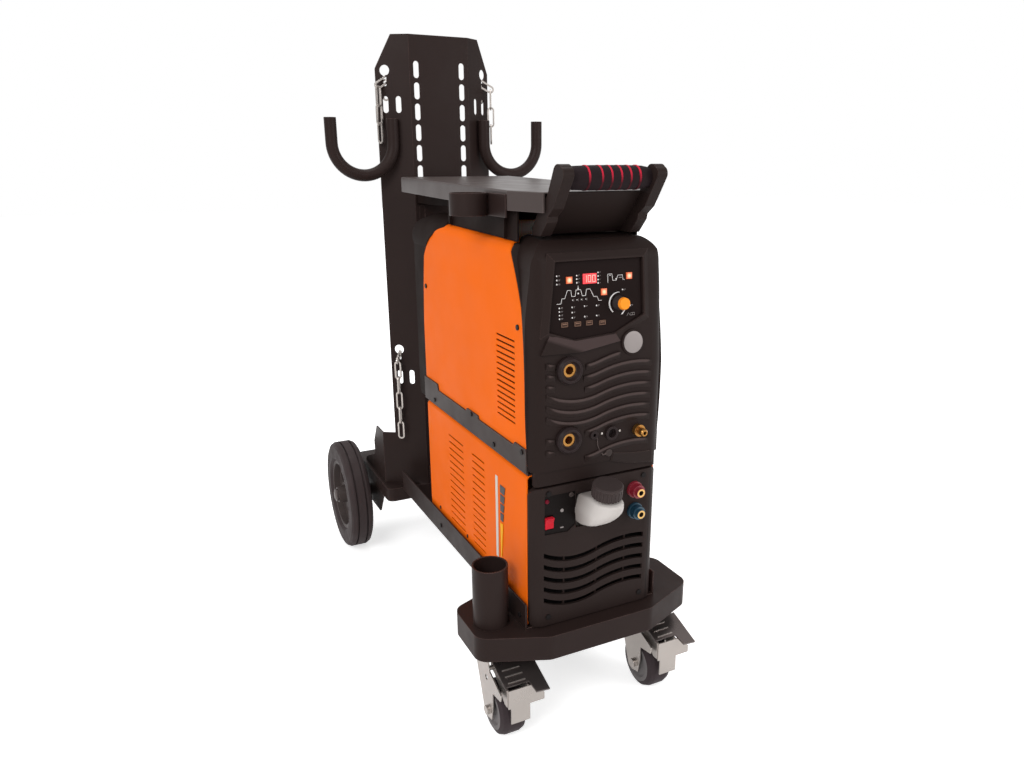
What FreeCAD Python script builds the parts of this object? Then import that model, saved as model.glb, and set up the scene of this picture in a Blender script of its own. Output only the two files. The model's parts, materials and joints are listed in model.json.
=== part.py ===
import FreeCAD, Part
import math
import os
import Sketcher

from FreeCAD import Placement, Rotation, Vector

# A TIG welding set on its trolley: the inverter power source stands on its water cooler, and both
# stand in the deck of a two-wheeled trolley with a gas-cylinder column behind and a tool tray above.
# Millimetres. X is the operator's right, -Y the front, Z up. The floor is z = 0.

DIMENSIONS = {
    # The origin lies under the middle of the whole, this far behind the drawing's own zero
    "origin_shift": 20.9,
    # Trolley base
    "steel_sheet": 3,
    "deck_height": 214.5,
    "platform_half_width": 209,
    "platform_nose_half_width": 98,
    "platform_nose_y": -529,
    "platform_shoulder_y": -481.5,
    "platform_middle_y": -429,
    "platform_skirt": 43.5,
    "deck_half_width": 127,
    "deck_flange": 46,
    "deck_sheet": 2.5,
    "deck_front_y": -492,
    "deck_rear_y": 171.5,
    "cradle_half_width": 160,
    "cradle_front_y": 183,
    "cradle_rear_y": 470,
    "cradle_skirt": 32,
    # Column
    "column_front_y": 174,
    "column_face_half_width": 64.5,
    "column_half_width": 126.4,
    "column_bend": 33.1,
    "column_top": 1203.8,
    "column_chamfer_top_half_width": 95.3,
    "column_chamfer_z": 1137.8,
    "column_foot_half_width": 152,
    "column_foot_top": 343,
    "tray_slot_x": 50,
    "tray_slot_z": 1137,
    "tray_slot_pitch": 41.2,
    "tray_slot_length": 33,
    "tray_slot_width": 12,
    "keyhole_radius": 10.5,
    "keyhole_neck": 7.4,
    "upper_keyhole_z": 1135.5,
    "lower_keyhole_z": 545,
    # Rear wheels
    "axle_y": 393.5,
    "rear_wheel_radius": 135.5,
    "rear_wheel_width": 54,
    "rear_wheel_x": 205.5,
    "tyre_bore_radius": 88,
    "axle_radius": 10,
    "running_gap": 0.05,
    # Casters
    "caster_x": 150,
    "swivel_y": -402,
    "caster_trail": 47.7,
    "caster_wheel_radius": 48,
    "caster_wheel_width": 48,
    "fork_inner_half_width": 26.5,
    "fork_sheet": 2.5,
    # Cable hooks and rod tube
    "hook_tube_radius": 12.25,
    "hook_bend_radius": 64.35,
    "hook_inner_x": 104,
    "hook_bend_z": 992,
    "hook_top_z": 1041,
    "rod_tube_radius": 30,
    "rod_tube_x": -168,
    "rod_tube_y": -441.8,
    "rod_tube_top": 322,
    "tube_wall": 2.5,
    # Tool tray and handle
    "tray_half_width": 120,
    "tray_rear_y": 90,
    "tray_rear_z": 926,
    "tray_tilt": 1.06,
    "tray_length": 574,
    "tray_chamfer_start": 512.7,
    "tray_front_half_width": 91,
    "tray_skirt": 29,
    "tray_sheet": 2,
    "torch_ring_radius": 30,
    "torch_ring_y": -344,
    "torch_ring_height": 34,
    "grip_radius": 17.5,
    "grip_y": -508,
    "grip_z": 935,
    "arm_x": 77.85,
    "arm_width": 17.1,
    # Power source
    "case_half_width": 120,
    "case_sheet": 2,
    "case_rear_y": -15.6,
    "case_front_y": -488,
    "power_cover_bottom": 503,
    "power_bottom": 485,
    "roof_z": 844.8,
    "roof_crown": 3.9,
    "roof_middle_y": -279,
    "roof_tilt": 1.3,
    "shoulder_radius": 18,
    "front_sweep_radius": 431,
    "front_sweep_z": 610,
    "louvre_pitch": 9.5,
    "face_y": -501.65,
    "face_lean": 4.01,
    "face_lean_z": 650,
    "dinse_ring_radius": 21.5,
    "dinse_brass_radius": 10.75,
    "dinse_bore_radius": 6.6,
    "panel_depth": 3,
    # Cooler
    "cooler_bottom": 217,
    "cooler_face_y": -500,
    "cooler_case_front_y": -484,
    "front_corner_radius": 28,
    "wave_dip_radius": 118,
    "wave_crest_radius": 190,
    "wave_dip_x": -38,
    "wave_crest_x": 60,
    "wave_height": 16,
    "wave_pitch": 20.4,
    "vent_height": 8.5,
    "cap_radius": 25,
    "cap_tilt": 10,
    # Chain
    "link_length": 43,
    "link_width": 15.5,
    "link_wire": 3.5,
}

doc = FreeCAD.newDocument("tig_welding_machine")
sheet = doc.addObject("Spreadsheet::Sheet", "Dims")
for line, (alias, amount) in enumerate(DIMENSIONS.items(), start=1):
    sheet.set(f"A{line}", alias)
    sheet.set(f"B{line}", str(amount))
    sheet.setAlias(f"B{line}", alias)
doc.recompute()

PLANES = {
    "XY": Rotation(),
    "XZ": Rotation(Vector(1, 0, 0), 90),
    "YZ": Rotation(Vector(1, 1, 1), 120),
}
SUMS = {
    "+": lambda a, b: a + b,
    "-": lambda a, b: a - b,
    "*": lambda a, b: a * b,
    "/": lambda a, b: a / b,
}


class Size:
    """A length with its value now and the sheet formula that keeps it up to date."""

    def __init__(self, value, formula):
        self.value = float(value)
        self.formula = formula

    def joined(self, other, sign, swap=False):
        pair = (other, self) if swap else (self, other)
        values = [number(part) for part in pair]
        words = [part.formula if isinstance(part, Size) else f"({part!r})" for part in pair]
        return Size(SUMS[sign](*values), f"({words[0]} {sign} {words[1]})")

    def __add__(self, other):
        return self.joined(other, "+")

    def __radd__(self, other):
        return self.joined(other, "+", True)

    def __sub__(self, other):
        return self.joined(other, "-")

    def __rsub__(self, other):
        return self.joined(other, "-", True)

    def __mul__(self, other):
        return self.joined(other, "*")

    def __rmul__(self, other):
        return self.joined(other, "*", True)

    def __truediv__(self, other):
        return self.joined(other, "/")

    def __neg__(self):
        return self.joined(0, "-", True)


def dim(alias):
    return Size(DIMENSIONS[alias], f"Dims.{alias}")


def number(size):
    return size.value if isinstance(size, Size) else float(size)


def bind(thing, path, size):
    """Tie a property to the sheet where its size comes from there."""
    if isinstance(size, Size):
        thing.setExpression(path, size.formula)


def place(thing, x=0, y=0, z=0, turn=None):
    """Put an object at a point of the drawing, with a turn about that point."""
    y = y + dim("origin_shift")
    point = Vector(number(x), number(y), number(z))
    thing.Placement = Placement(point, turn or Rotation())
    for axis, size in (("x", x), ("y", y), ("z", z)):
        bind(thing, f"Placement.Base.{axis}", size)


def new_body(label, x=0, y=0, z=0, turn=None):
    body = doc.addObject("PartDesign::Body", label)
    body.Label = label
    place(body, x, y, z, turn)
    return body


def origin_part(body, role):
    return next(part for part in body.Origin.OriginFeatures if part.Role == role)


def new_sketch(body, plane, offset, frame=None):
    """A sketch on an origin plane of the body, moved along its normal, or in a turned frame."""
    sketch = body.newObject("Sketcher::SketchObject", f"{body.Name}_sketch")
    sketch.AttachmentSupport = [(origin_part(body, f"{plane}_Plane"), "")]
    sketch.MapMode = "FlatFace"
    lift = Placement(Vector(0, 0, number(offset)), Rotation())
    if frame is None:
        sketch.AttachmentOffset = lift
        bind(sketch, "AttachmentOffset.Base.z", offset)
    else:
        flat = Placement(Vector(), PLANES[plane])
        sketch.AttachmentOffset = flat.inverse() * frame * flat * lift
    return sketch


def fix_point(sketch, element, end, x, y):
    for kind, size in (("DistanceX", x), ("DistanceY", y)):
        item = sketch.addConstraint(Sketcher.Constraint(kind, -1, 1, element, end, number(size)))
        bind(sketch, f"Constraints[{item}]", size)


def fix_radius(sketch, element, radius):
    item = sketch.addConstraint(Sketcher.Constraint("Radius", element, number(radius)))
    bind(sketch, f"Constraints[{item}]", radius)


def flat_point(x, y):
    return Vector(number(x), number(y), 0)


def arc_between(start, end, radius):
    """An arc of less than half a turn: anticlockwise for a positive radius, else clockwise."""
    chord = end - start
    rise = math.sqrt(max(0, radius**2 - (chord.Length / 2) ** 2))
    left = Vector(-chord.y, chord.x, 0).normalize()
    centre = (start + end) / 2 + left * math.copysign(rise, radius)
    first, last = (start, end) if radius > 0 else (end, start)
    angles = [math.atan2(point.y - centre.y, point.x - centre.x) for point in (first, last)]
    return Part.ArcOfCircle(Part.Circle(centre, Vector(0, 0, 1), abs(radius)), *angles)


def outline(*corners):
    """A closed outline. A corner (x, y, r) starts an arc of radius r to the next corner."""

    def draw(sketch):
        first = sketch.GeometryCount
        ends = []
        for index, corner in enumerate(corners):
            following = corners[(index + 1) % len(corners)]
            start, end = flat_point(*corner[:2]), flat_point(*following[:2])
            if len(corner) == 2:
                sketch.addGeometry(Part.LineSegment(start, end))
                ends.append((1, 2))
            else:
                sketch.addGeometry(arc_between(start, end, number(corner[2])))
                ends.append((1, 2) if number(corner[2]) > 0 else (2, 1))
        for index, corner in enumerate(corners):
            item = first + index
            after = (index + 1) % len(corners)
            joint = ("Coincident", item, ends[index][1], first + after, ends[after][0])
            sketch.addConstraint(Sketcher.Constraint(*joint))
            fix_point(sketch, item, ends[index][0], *corner[:2])
            if len(corner) == 3:
                radius = corner[2] if number(corner[2]) > 0 else -corner[2]
                fix_radius(sketch, item, radius)

    return draw


def box(x_low, y_low, x_high, y_high):
    return outline((x_low, y_low), (x_high, y_low), (x_high, y_high), (x_low, y_high))


def hole(x, y, radius):
    """A full circle."""

    def draw(sketch):
        circle = Part.Circle(flat_point(x, y), Vector(0, 0, 1), number(radius))
        item = sketch.addGeometry(circle)
        fix_point(sketch, item, 3, x, y)
        fix_radius(sketch, item, radius)

    return draw


def upright_slot(x, y, length, width):
    """A round-ended slot along the sketch's second axis, given by its centre."""
    half_run = (length - width) / 2
    half = width / 2

    def draw(sketch):
        centres = (flat_point(x, y + half_run), flat_point(x, y - half_run))
        start = sketch.GeometryCount
        normal = Vector(0, 0, 1)
        reach = number(half)
        for centre, turn in zip(centres, (0, math.pi)):
            sketch.addGeometry(Part.ArcOfCircle(Part.Circle(centre, normal, reach), turn, turn + math.pi))
        for side in (-1, 1):
            shift = Vector(side * reach, 0, 0)
            sketch.addGeometry(Part.LineSegment(centres[0] + shift, centres[1] + shift))
        ties = ((0, 2, 2, 1), (2, 2, 1, 1), (1, 2, 3, 2), (3, 1, 0, 1))
        for one, one_end, other, other_end in ties:
            tie = ("Tangent", start + one, one_end, start + other, other_end)
            sketch.addConstraint(Sketcher.Constraint(*tie))
        fix_point(sketch, start, 3, x, y + half_run)
        fix_point(sketch, start + 1, 3, x, y - half_run)
        fix_radius(sketch, start, half)

    return draw


def grow(body, plane, low, high, *outlines, frame=None):
    """Pad outlines from one position to a higher one along the plane's axis."""
    sketch = new_sketch(body, plane, -high if plane == "XZ" else low, frame)
    for draw in outlines:
        draw(sketch)
    pad = body.newObject("PartDesign::Pad", f"{body.Name}_pad")
    pad.Profile = sketch
    pad.Length = number(high - low)
    bind(pad, "Length", high - low)
    doc.recompute()
    return pad


def cut(body, plane, low, high, *outlines, frame=None):
    """Pocket outlines from one position to a higher one along the plane's axis."""
    before = body.Shape.Volume
    sketch = new_sketch(body, plane, -low if plane == "XZ" else high, frame)
    for draw in outlines:
        draw(sketch)
    pocket = body.newObject("PartDesign::Pocket", f"{body.Name}_pocket")
    pocket.Profile = sketch
    pocket.Length = number(high - low)
    bind(pocket, "Length", high - low)
    doc.recompute()
    if not body.Shape.Volume < before:
        raise RuntimeError(f"{pocket.Name} cuts nothing")
    return pocket


def spin(body, plane, axis, *outlines, frame=None, angle=360, back=False):
    """Revolve outlines about an axis of the body, X, Y or Z."""
    sketch = new_sketch(body, plane, 0, frame)
    for draw in outlines:
        draw(sketch)
    turned = body.newObject("PartDesign::Revolution", f"{body.Name}_revolution")
    turned.Profile = sketch
    turned.ReferenceAxis = (origin_part(body, f"{axis}_Axis"), [""])
    turned.Angle = angle
    turned.Reversed = back
    doc.recompute()
    return turned


def row(body, features, axis, length, count, back=False):
    """Repeat features along an axis of the body."""
    pattern = body.newObject("PartDesign::LinearPattern", f"{body.Name}_row")
    pattern.Originals = features
    pattern.Direction = (origin_part(body, f"{axis}_Axis"), [""])
    pattern.Reversed = back
    pattern.Length = number(length)
    bind(pattern, "Length", length)
    pattern.Occurrences = count
    body.Tip = pattern
    doc.recompute()
    return pattern


def ring_of(body, features, axis, count):
    """Repeat features round an axis of the body."""
    pattern = body.newObject("PartDesign::PolarPattern", f"{body.Name}_ring")
    pattern.Originals = features
    pattern.Axis = (origin_part(body, f"{axis}_Axis"), [""])
    pattern.Angle = 360
    pattern.Occurrences = count
    body.Tip = pattern
    doc.recompute()
    return pattern


def mirrored(body, features, plane="YZ"):
    """Repeat features on the other side of an origin plane of the body."""
    copy = body.newObject("PartDesign::Mirrored", f"{body.Name}_mirrored")
    copy.Originals = features
    copy.MirrorPlane = (origin_part(body, f"{plane}_Plane"), [""])
    body.Tip = copy
    doc.recompute()
    return copy


def round_edges(body, radius, chosen):
    """Fillet the edges that the test picks out."""
    base = body.Tip
    names = [f"Edge{i}" for i, edge in enumerate(base.Shape.Edges, start=1) if chosen(edge)]
    if not names:
        raise RuntimeError(f"{body.Name} has no such edge to round")
    fillet = body.newObject("PartDesign::Fillet", f"{body.Name}_fillet")
    fillet.Base = (base, names)
    fillet.Radius = number(radius)
    bind(fillet, "Radius", radius)
    doc.recompute()
    return fillet


def hollow(body, wall, chosen):
    """Shell the body inwards, open at the face that the test picks out."""
    base = body.Tip
    names = [f"Face{i}" for i, face in enumerate(base.Shape.Faces, start=1) if chosen(face)]
    shell = body.newObject("PartDesign::Thickness", f"{body.Name}_shell")
    shell.Base = (base, names)
    shell.Value = number(wall)
    bind(shell, "Value", wall)
    shell.Reversed = True
    doc.recompute()
    if not shell.Shape.Volume < base.Shape.Volume:
        raise RuntimeError(f"{body.Name} was not hollowed")
    return shell


def along(edge, x=0, y=0, z=0):
    """Whether an edge is straight and runs along a direction."""
    if not isinstance(edge.Curve, Part.Line):
        return False
    return edge.Curve.Direction.cross(Vector(x, y, z)).Length < 1e-6


def middle(edge):
    return edge.CenterOfMass


def both_sides(inner, outer):
    """The ranges of x on the left and on the right between two distances from the middle."""
    return ((-outer, -inner), (inner, outer))


def mirror_part(source, label):
    """A copy of a part on the other side of the middle plane."""
    copy = doc.addObject("Part::Mirroring", label)
    copy.Label = label
    copy.Source = source
    copy.Base = Vector(0, 0, 0)
    copy.Normal = Vector(1, 0, 0)
    return copy


def group(label, members):
    """Separate solids that share one node."""
    gathered = doc.addObject("Part::Compound", label)
    gathered.Label = label
    gathered.Links = members
    return gathered


TO_RIGHT = Rotation(Vector(0, 1, 0), 90)
TO_LEFT = Rotation(Vector(0, 1, 0), -90)
TO_FRONT = Rotation(Vector(1, 0, 0), 90)
nodes = []


# --- Trolley base ---------------------------------------------------------------------------

steel = dim("steel_sheet")
deck = dim("deck_height")

front_platform = new_body("front_platform")
nose = dim("platform_nose_half_width")
side = dim("platform_half_width")
nose_y = dim("platform_nose_y")
shoulder_y = dim("platform_shoulder_y")
mirror_y = 2 * dim("platform_middle_y")
octagon = outline(
    (-nose, nose_y),
    (nose, nose_y),
    (side, shoulder_y),
    (side, mirror_y - shoulder_y),
    (nose, mirror_y - nose_y),
    (-nose, mirror_y - nose_y),
    (-side, mirror_y - shoulder_y),
    (-side, shoulder_y),
)
grow(front_platform, "XY", deck - dim("platform_skirt"), deck, octagon)
round_edges(front_platform, 26, lambda edge: along(edge, z=1))
hollow(front_platform, steel, lambda face: face.CenterOfMass.z < number(deck) - 43)
nodes.append(front_platform)

deck_tray = new_body("deck_tray")
deck_side = dim("deck_half_width")
deck_inside = deck_side - dim("deck_sheet")
deck_floor = deck + dim("deck_sheet")
flange_top = deck + dim("deck_flange")
channel = outline(
    (-deck_side, deck),
    (deck_side, deck),
    (deck_side, flange_top),
    (deck_inside, flange_top),
    (deck_inside, deck_floor),
    (-deck_inside, deck_floor),
    (-deck_inside, flange_top),
    (-deck_side, flange_top),
)
grow(deck_tray, "XZ", dim("deck_front_y"), dim("deck_rear_y"), channel)
rear_lip = box(-60, deck, 60, flange_top)
grow(deck_tray, "XZ", dim("deck_rear_y"), dim("column_front_y"), rear_lip)
nodes.append(deck_tray)

cylinder_platform = new_body("cylinder_platform")
cradle_side = dim("cradle_half_width")
cradle_bottom = deck - dim("cradle_skirt")
cradle = box(-cradle_side, dim("cradle_front_y"), cradle_side, dim("cradle_rear_y"))
grow(cylinder_platform, "XY", cradle_bottom, deck, cradle)
round_edges(cylinder_platform, 16, lambda edge: along(edge, z=1))
hollow(cylinder_platform, steel, lambda face: face.CenterOfMass.z < number(cradle_bottom) + 1)
axle_y = dim("axle_y")
wheel_z = dim("rear_wheel_radius")
BRACKET = ((250, 211.5), (250, 182), (294, 115), (450, 115), (460, 211.5))
for low, high in both_sides(150, 154):
    hanger = (outline(*BRACKET), hole(axle_y, wheel_z, dim("axle_radius") + 0.1))
    grow(cylinder_platform, "YZ", low, high, *hanger)
nodes.append(cylinder_platform)

# --- Column ---------------------------------------------------------------------------------

column = new_body("column")
bend = math.radians(DIMENSIONS["column_bend"])
lean = math.tan(bend)
face_y = dim("column_front_y")
face_x = dim("column_face_half_width")
edge_x = dim("column_half_width")
foot_x = dim("column_foot_half_width")
column_top = dim("column_top")


def flange_y(x):
    """Where the front of a flange lies at a distance x from the middle."""
    return face_y + (x - face_x) * lean


def folded(half_width):
    """The column's section: a flat face with a flange swept back on each side."""
    back_x = half_width - steel * math.sin(bend)
    back_y = flange_y(half_width) + steel * math.cos(bend)
    inner_x = face_x - steel * math.tan(bend / 2)
    return outline(
        (-half_width, flange_y(half_width)),
        (-face_x, face_y),
        (face_x, face_y),
        (half_width, flange_y(half_width)),
        (back_x, back_y),
        (inner_x, face_y + steel),
        (-inner_x, face_y + steel),
        (-back_x, back_y),
    )


grow(column, "XY", deck, column_top, folded(edge_x))
grow(column, "XY", deck, dim("column_foot_top"), folded(foot_x))
wing_y = flange_y(foot_x)
WING = ((285, 343), (316, 296), (314, 262), (400, 226), (410, 214.5))
for low, high in both_sides(foot_x - steel, foot_x):
    grow(column, "YZ", low, high, outline((wing_y, deck), (wing_y, dim("column_foot_top")), *WING))
FOOT = ((-62, 176), (62, 176), (118, 213), (118, 285), (-118, 285), (-118, 213))
grow(column, "XY", deck, deck + steel, outline(*FOOT))
top_x = dim("column_chamfer_top_half_width")
for sign in (-1, 1):
    corner = outline(
        (sign * top_x, column_top),
        (sign * edge_x, dim("column_chamfer_z")),
        (sign * (edge_x + 9), dim("column_chamfer_z")),
        (sign * (edge_x + 9), column_top + 9),
        (sign * top_x, column_top + 9),
    )
    cut(column, "XZ", 160, 250, corner)

slot_width = dim("tray_slot_width")
slot_length = dim("tray_slot_length")
TRAY_SLOTS = 8
tray_slots = [
    upright_slot(sign * dim("tray_slot_x"), dim("tray_slot_z"), slot_length, slot_width)
    for sign in (-1, 1)
]
lowest_slots = cut(column, "XZ", 170, 180, *tray_slots)
row(column, [lowest_slots], "Z", dim("tray_slot_pitch") * (TRAY_SLOTS - 1), TRAY_SLOTS, back=True)

flange_frame = Placement(
    Vector(number(face_x), number(face_y), 0), Rotation(Vector(0, 0, 1), DIMENSIONS["column_bend"])
)
KEYHOLE_ALONG = 53.7
PAIRED_SLOTS_ALONG = (26.9, 54.3)


def keyhole(z, drop):
    """A round hole with a narrow neck below it, to take and hold a chain."""
    neck = upright_slot(KEYHOLE_ALONG, z - drop / 2, drop, dim("keyhole_neck"))
    return hole(KEYHOLE_ALONG, z, dim("keyhole_radius")), neck


openings = []
for z, drop in ((dim("upper_keyhole_z"), 30.5), (dim("lower_keyhole_z"), 24)):
    for shape in keyhole(z, drop):
        openings.append(cut(column, "XZ", -10, 10, shape, frame=flange_frame))
for z in (1069, 480):
    pair = [upright_slot(place_x, z, slot_length, slot_width) for place_x in PAIRED_SLOTS_ALONG]
    openings.append(cut(column, "XZ", -10, 10, *pair, frame=flange_frame))
mirrored(column, openings)
nodes.append(column)

# --- Rear wheels ----------------------------------------------------------------------------

axle_radius = dim("axle_radius")
AXLE_END = 236
rear_axle = new_body("rear_axle", 0, axle_y, wheel_z)
half_axle = [
    (0, 0),
    (244, 0),
    (244, 9),
    (241, 16),
    (AXLE_END, 16),
    (AXLE_END, axle_radius),
    (175.2, axle_radius),
    (175.2, 14),
    (154.3, 14),
    (154.3, axle_radius),
    (0, axle_radius),
]
spin(rear_axle, "XZ", "X", outline(*half_axle))
spin(rear_axle, "XZ", "X", outline(*[(-number(x), r) for x, r in reversed(half_axle)]))
nodes.append(rear_axle)

wheel_x = dim("rear_wheel_x")
half_tread = dim("rear_wheel_width") / 2
tyre_bore = dim("tyre_bore_radius")
GROOVE_X = (-11, 11)
GROOVE_HALF_WIDTH = 2
GROOVE_DEPTH = 5
SHOULDER = ((0, 10), (3, 4), (10, 0))
left_rear_tyre = new_body("left_rear_tyre", -wheel_x, axle_y, wheel_z)
grooves = []
for x in GROOVE_X:
    grooves += [
        (x - GROOVE_HALF_WIDTH, wheel_z),
        (x - GROOVE_HALF_WIDTH, wheel_z - GROOVE_DEPTH),
        (x + GROOVE_HALF_WIDTH, wheel_z - GROOVE_DEPTH),
        (x + GROOVE_HALF_WIDTH, wheel_z),
    ]
tyre_section = outline(
    (half_tread - 6, tyre_bore),
    (half_tread, tyre_bore + 8),
    *[(half_tread - inwards, wheel_z - down) for inwards, down in SHOULDER],
    *reversed(grooves),
    *[(inwards - half_tread, wheel_z - down) for inwards, down in reversed(SHOULDER)],
    (-half_tread, tyre_bore + 8),
    (6 - half_tread, tyre_bore),
)
spin(left_rear_tyre, "XZ", "X", tyre_section)

left_rear_rim = new_body("left_rear_rim", -wheel_x, axle_y, wheel_z)
hub_bore = axle_radius + dim("running_gap")
rim_section = outline(
    (30, hub_bore),
    (30, 19),
    (5, 24),
    (5, 76),
    (21, 80),
    (21, tyre_bore),
    (-21, tyre_bore),
    (-21, 80),
    (-5, 76),
    (-5, 24),
    (-30, 19),
    (-30, hub_bore),
)
spin(left_rear_rim, "XZ", "X", rim_section)
RIM_HOLES = 6
rim_hole = cut(left_rear_rim, "YZ", -30, 30, hole(0, 53, 13))
ring_of(left_rear_rim, [rim_hole], "X", RIM_HOLES)
nodes += [left_rear_tyre, left_rear_rim]
nodes.append(mirror_part(left_rear_tyre, "right_rear_tyre"))
nodes.append(mirror_part(left_rear_rim, "right_rear_rim"))

# --- Casters --------------------------------------------------------------------------------

trail = dim("caster_trail")
caster_radius = dim("caster_wheel_radius")
fork_inside = dim("fork_inner_half_width")
fork_outside = fork_inside + dim("fork_sheet")
CROWN_LOW = 186
CROWN_HIGH = 196
RACE_GAP = 0.3
PIN_RADIUS = 6
PLATE_LOW = 208.5
PIVOT_Y = -50
PIVOT_Z = 132
PIVOT_RADIUS = 4
AXLE_HEAD_RADIUS = 8
TREAD_RIBS = (6, 19, 32)
caster_tops = []
caster_nodes = []
for name, sign in (("left", -1), ("right", 1)):
    spot = (sign * dim("caster_x"), dim("swivel_y"), 0)

    top = new_body(f"{name}_caster_plate", *spot)
    grow(top, "XY", PLATE_LOW, deck - steel, box(-36, -32, 36, 28))
    race = [(0, PLATE_LOW), (0, 180), (10, 180), (10, 185.7), (PIN_RADIUS, 185.7)]
    race += [(PIN_RADIUS, CROWN_HIGH + RACE_GAP), (26, CROWN_HIGH + RACE_GAP), (30, PLATE_LOW)]
    spin(top, "XZ", "Z", outline(*reversed(race)))
    caster_tops.append(top)

    fork = new_body(f"{name}_caster_fork", *spot)
    bore = PIN_RADIUS + dim("running_gap")
    crown = [(bore, CROWN_LOW), (34, CROWN_LOW), (34, 190), (27, 191), (25, CROWN_HIGH), (bore, CROWN_HIGH)]
    spin(fork, "XZ", "Z", outline(*crown))
    for low, high in both_sides(fork_inside, fork_outside):
        cheek = outline(
            (30, CROWN_LOW + 4),
            (-30, 34),
            (-trail + 6, 30),
            (-trail - 13, 35),
            (-trail - 18, 62),
            (-66, 92),
            (-98, 97),
            (-101, 110),
            (-54, 127),
            (-46, 150),
            (-30, 166),
            (-30, CROWN_LOW + 4),
        )
        grow(fork, "YZ", low, high, cheek, hole(-40, 108, 5), hole(-28, 142, 4))
    grow(fork, "XY", CROWN_LOW, CROWN_LOW + 4, box(-fork_outside, -30, fork_outside, 30), hole(0, 0, bore))
    grow(fork, "YZ", -fork_outside, fork_outside, hole(-trail, caster_radius, 5))
    grow(fork, "YZ", -fork_outside, fork_outside, hole(PIVOT_Y, PIVOT_Z, PIVOT_RADIUS))
    for low, high in both_sides(fork_outside, fork_outside + 6):
        grow(fork, "YZ", low, high, hole(-trail, caster_radius, AXLE_HEAD_RADIUS))
    caster_nodes.append(fork)

    wheel = new_body(f"{name}_caster_wheel", spot[0], spot[1] - trail, caster_radius)
    half_wheel = dim("caster_wheel_width") / 2
    wheel_bore = 5 + dim("running_gap")
    half_section = [
        (half_wheel + 1.5, wheel_bore),
        (half_wheel + 1.5, 10),
        (half_wheel - 4, 12),
        (half_wheel - 4, 27),
        (half_wheel, 30),
        (half_wheel, caster_radius - 11),
        (half_wheel - 4, caster_radius - 3),
        (half_wheel - 12, caster_radius),
    ]
    spin(wheel, "XZ", "X", outline(*half_section, *[(-x, r) for x, r in reversed(half_section)]))
    caster_nodes.append(wheel)

    pedal = new_body(f"{name}_brake_pedal", *spot)
    slope = Placement(Vector(0, -102, 122), Rotation(Vector(1, 0, 0), 20))
    tread_plate = outline(
        (-22, 0), (22, 0), (26, -23), (50, -25), (49, 46), (21.8, 46), (21.8, 70), (-22, 70)
    )
    grow(pedal, "XY", 0, 3, tread_plate, frame=slope)
    for low, high in both_sides(17, 20):
        ear = outline((-106, 88), (-106, 121), (-40, 145.5), (-40, 125), (-56, 122), (-96, 88))
        pin_hole = hole(PIVOT_Y, PIVOT_Z, PIVOT_RADIUS + dim("running_gap"))
        grow(pedal, "YZ", low, high, ear, pin_hole)
    release = outline(
        (-13, 53),
        (22, 53),
        (22, 84),
        (49, 84),
        (49, 97),
        (28, 119),
        (-18, 119),
        (-18, 84),
        (-13, 84),
    )
    grow(pedal, "XZ", -108, -105.5, release)
    for rib_at in TREAD_RIBS:
        grow(pedal, "XY", 3, 4.5, box(-14, rib_at - 1, 18, rib_at + 1), frame=slope)
    caster_nodes.append(pedal)
caster_plates = group("caster_plates", caster_tops)
nodes.append(caster_plates)
nodes += caster_nodes

# --- Cable hooks, rod tube ------------------------------------------------------------------

tube_radius = dim("hook_tube_radius")
bend_radius = dim("hook_bend_radius")
hook_x = dim("hook_inner_x") + bend_radius
hook_y = flange_y(dim("hook_inner_x")) - tube_radius / math.cos(bend)
right_hook = new_body("right_cable_hook", hook_x, hook_y, dim("hook_bend_z"))
leg = dim("hook_top_z") - dim("hook_bend_z")
for centre in (-bend_radius, bend_radius):
    grow(right_hook, "XY", 0, leg, hole(centre, 0, tube_radius))
spin(right_hook, "XY", "Y", hole(-bend_radius, 0, tube_radius), angle=180, back=True)
left_hook = mirror_part(right_hook, "left_cable_hook")
cable_hooks = group("cable_hooks", [left_hook, right_hook])
nodes.append(cable_hooks)

rod_tube = new_body("rod_tube", dim("rod_tube_x"), dim("rod_tube_y"), 0)
rod_radius = dim("rod_tube_radius")
rod_floor = deck + dim("tube_wall")
rod_bore = rod_radius - dim("tube_wall")
grow(rod_tube, "XY", deck, rod_floor, hole(0, 0, rod_radius))
grow(rod_tube, "XY", rod_floor, dim("rod_tube_top"), hole(0, 0, rod_radius), hole(0, 0, rod_bore))
nodes.append(rod_tube)

# --- Tool tray, its support and the handle --------------------------------------------------

tilt = Rotation(Vector(1, 0, 0), DIMENSIONS["tray_tilt"])
tray_rear_y = dim("tray_rear_y")
tray_rear_z = dim("tray_rear_z")
tray_side = dim("tray_half_width")
tray_nose = dim("tray_front_half_width")
tray_end = dim("tray_length")
skirt = dim("tray_skirt")
tool_tray = new_body("tool_tray", 0, tray_rear_y, tray_rear_z, tilt)
tray_outline = outline(
    (-tray_side, 0),
    (-tray_side, -dim("tray_chamfer_start")),
    (-tray_nose, -tray_end),
    (tray_nose, -tray_end),
    (tray_side, -dim("tray_chamfer_start")),
    (tray_side, 0),
)
grow(tool_tray, "XY", -skirt, 0, tray_outline)
round_edges(tool_tray, 3, lambda edge: middle(edge).z > -1)
hollow(tool_tray, dim("tray_sheet"), lambda face: middle(face).z < 1 - number(skirt))
HANDLE_GAP = 88
cut(tool_tray, "XZ", -tray_end - 5, -545, box(-HANDLE_GAP, -skirt - 2, HANDLE_GAP, -dim("tray_sheet")))
nodes.append(tool_tray)

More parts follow.
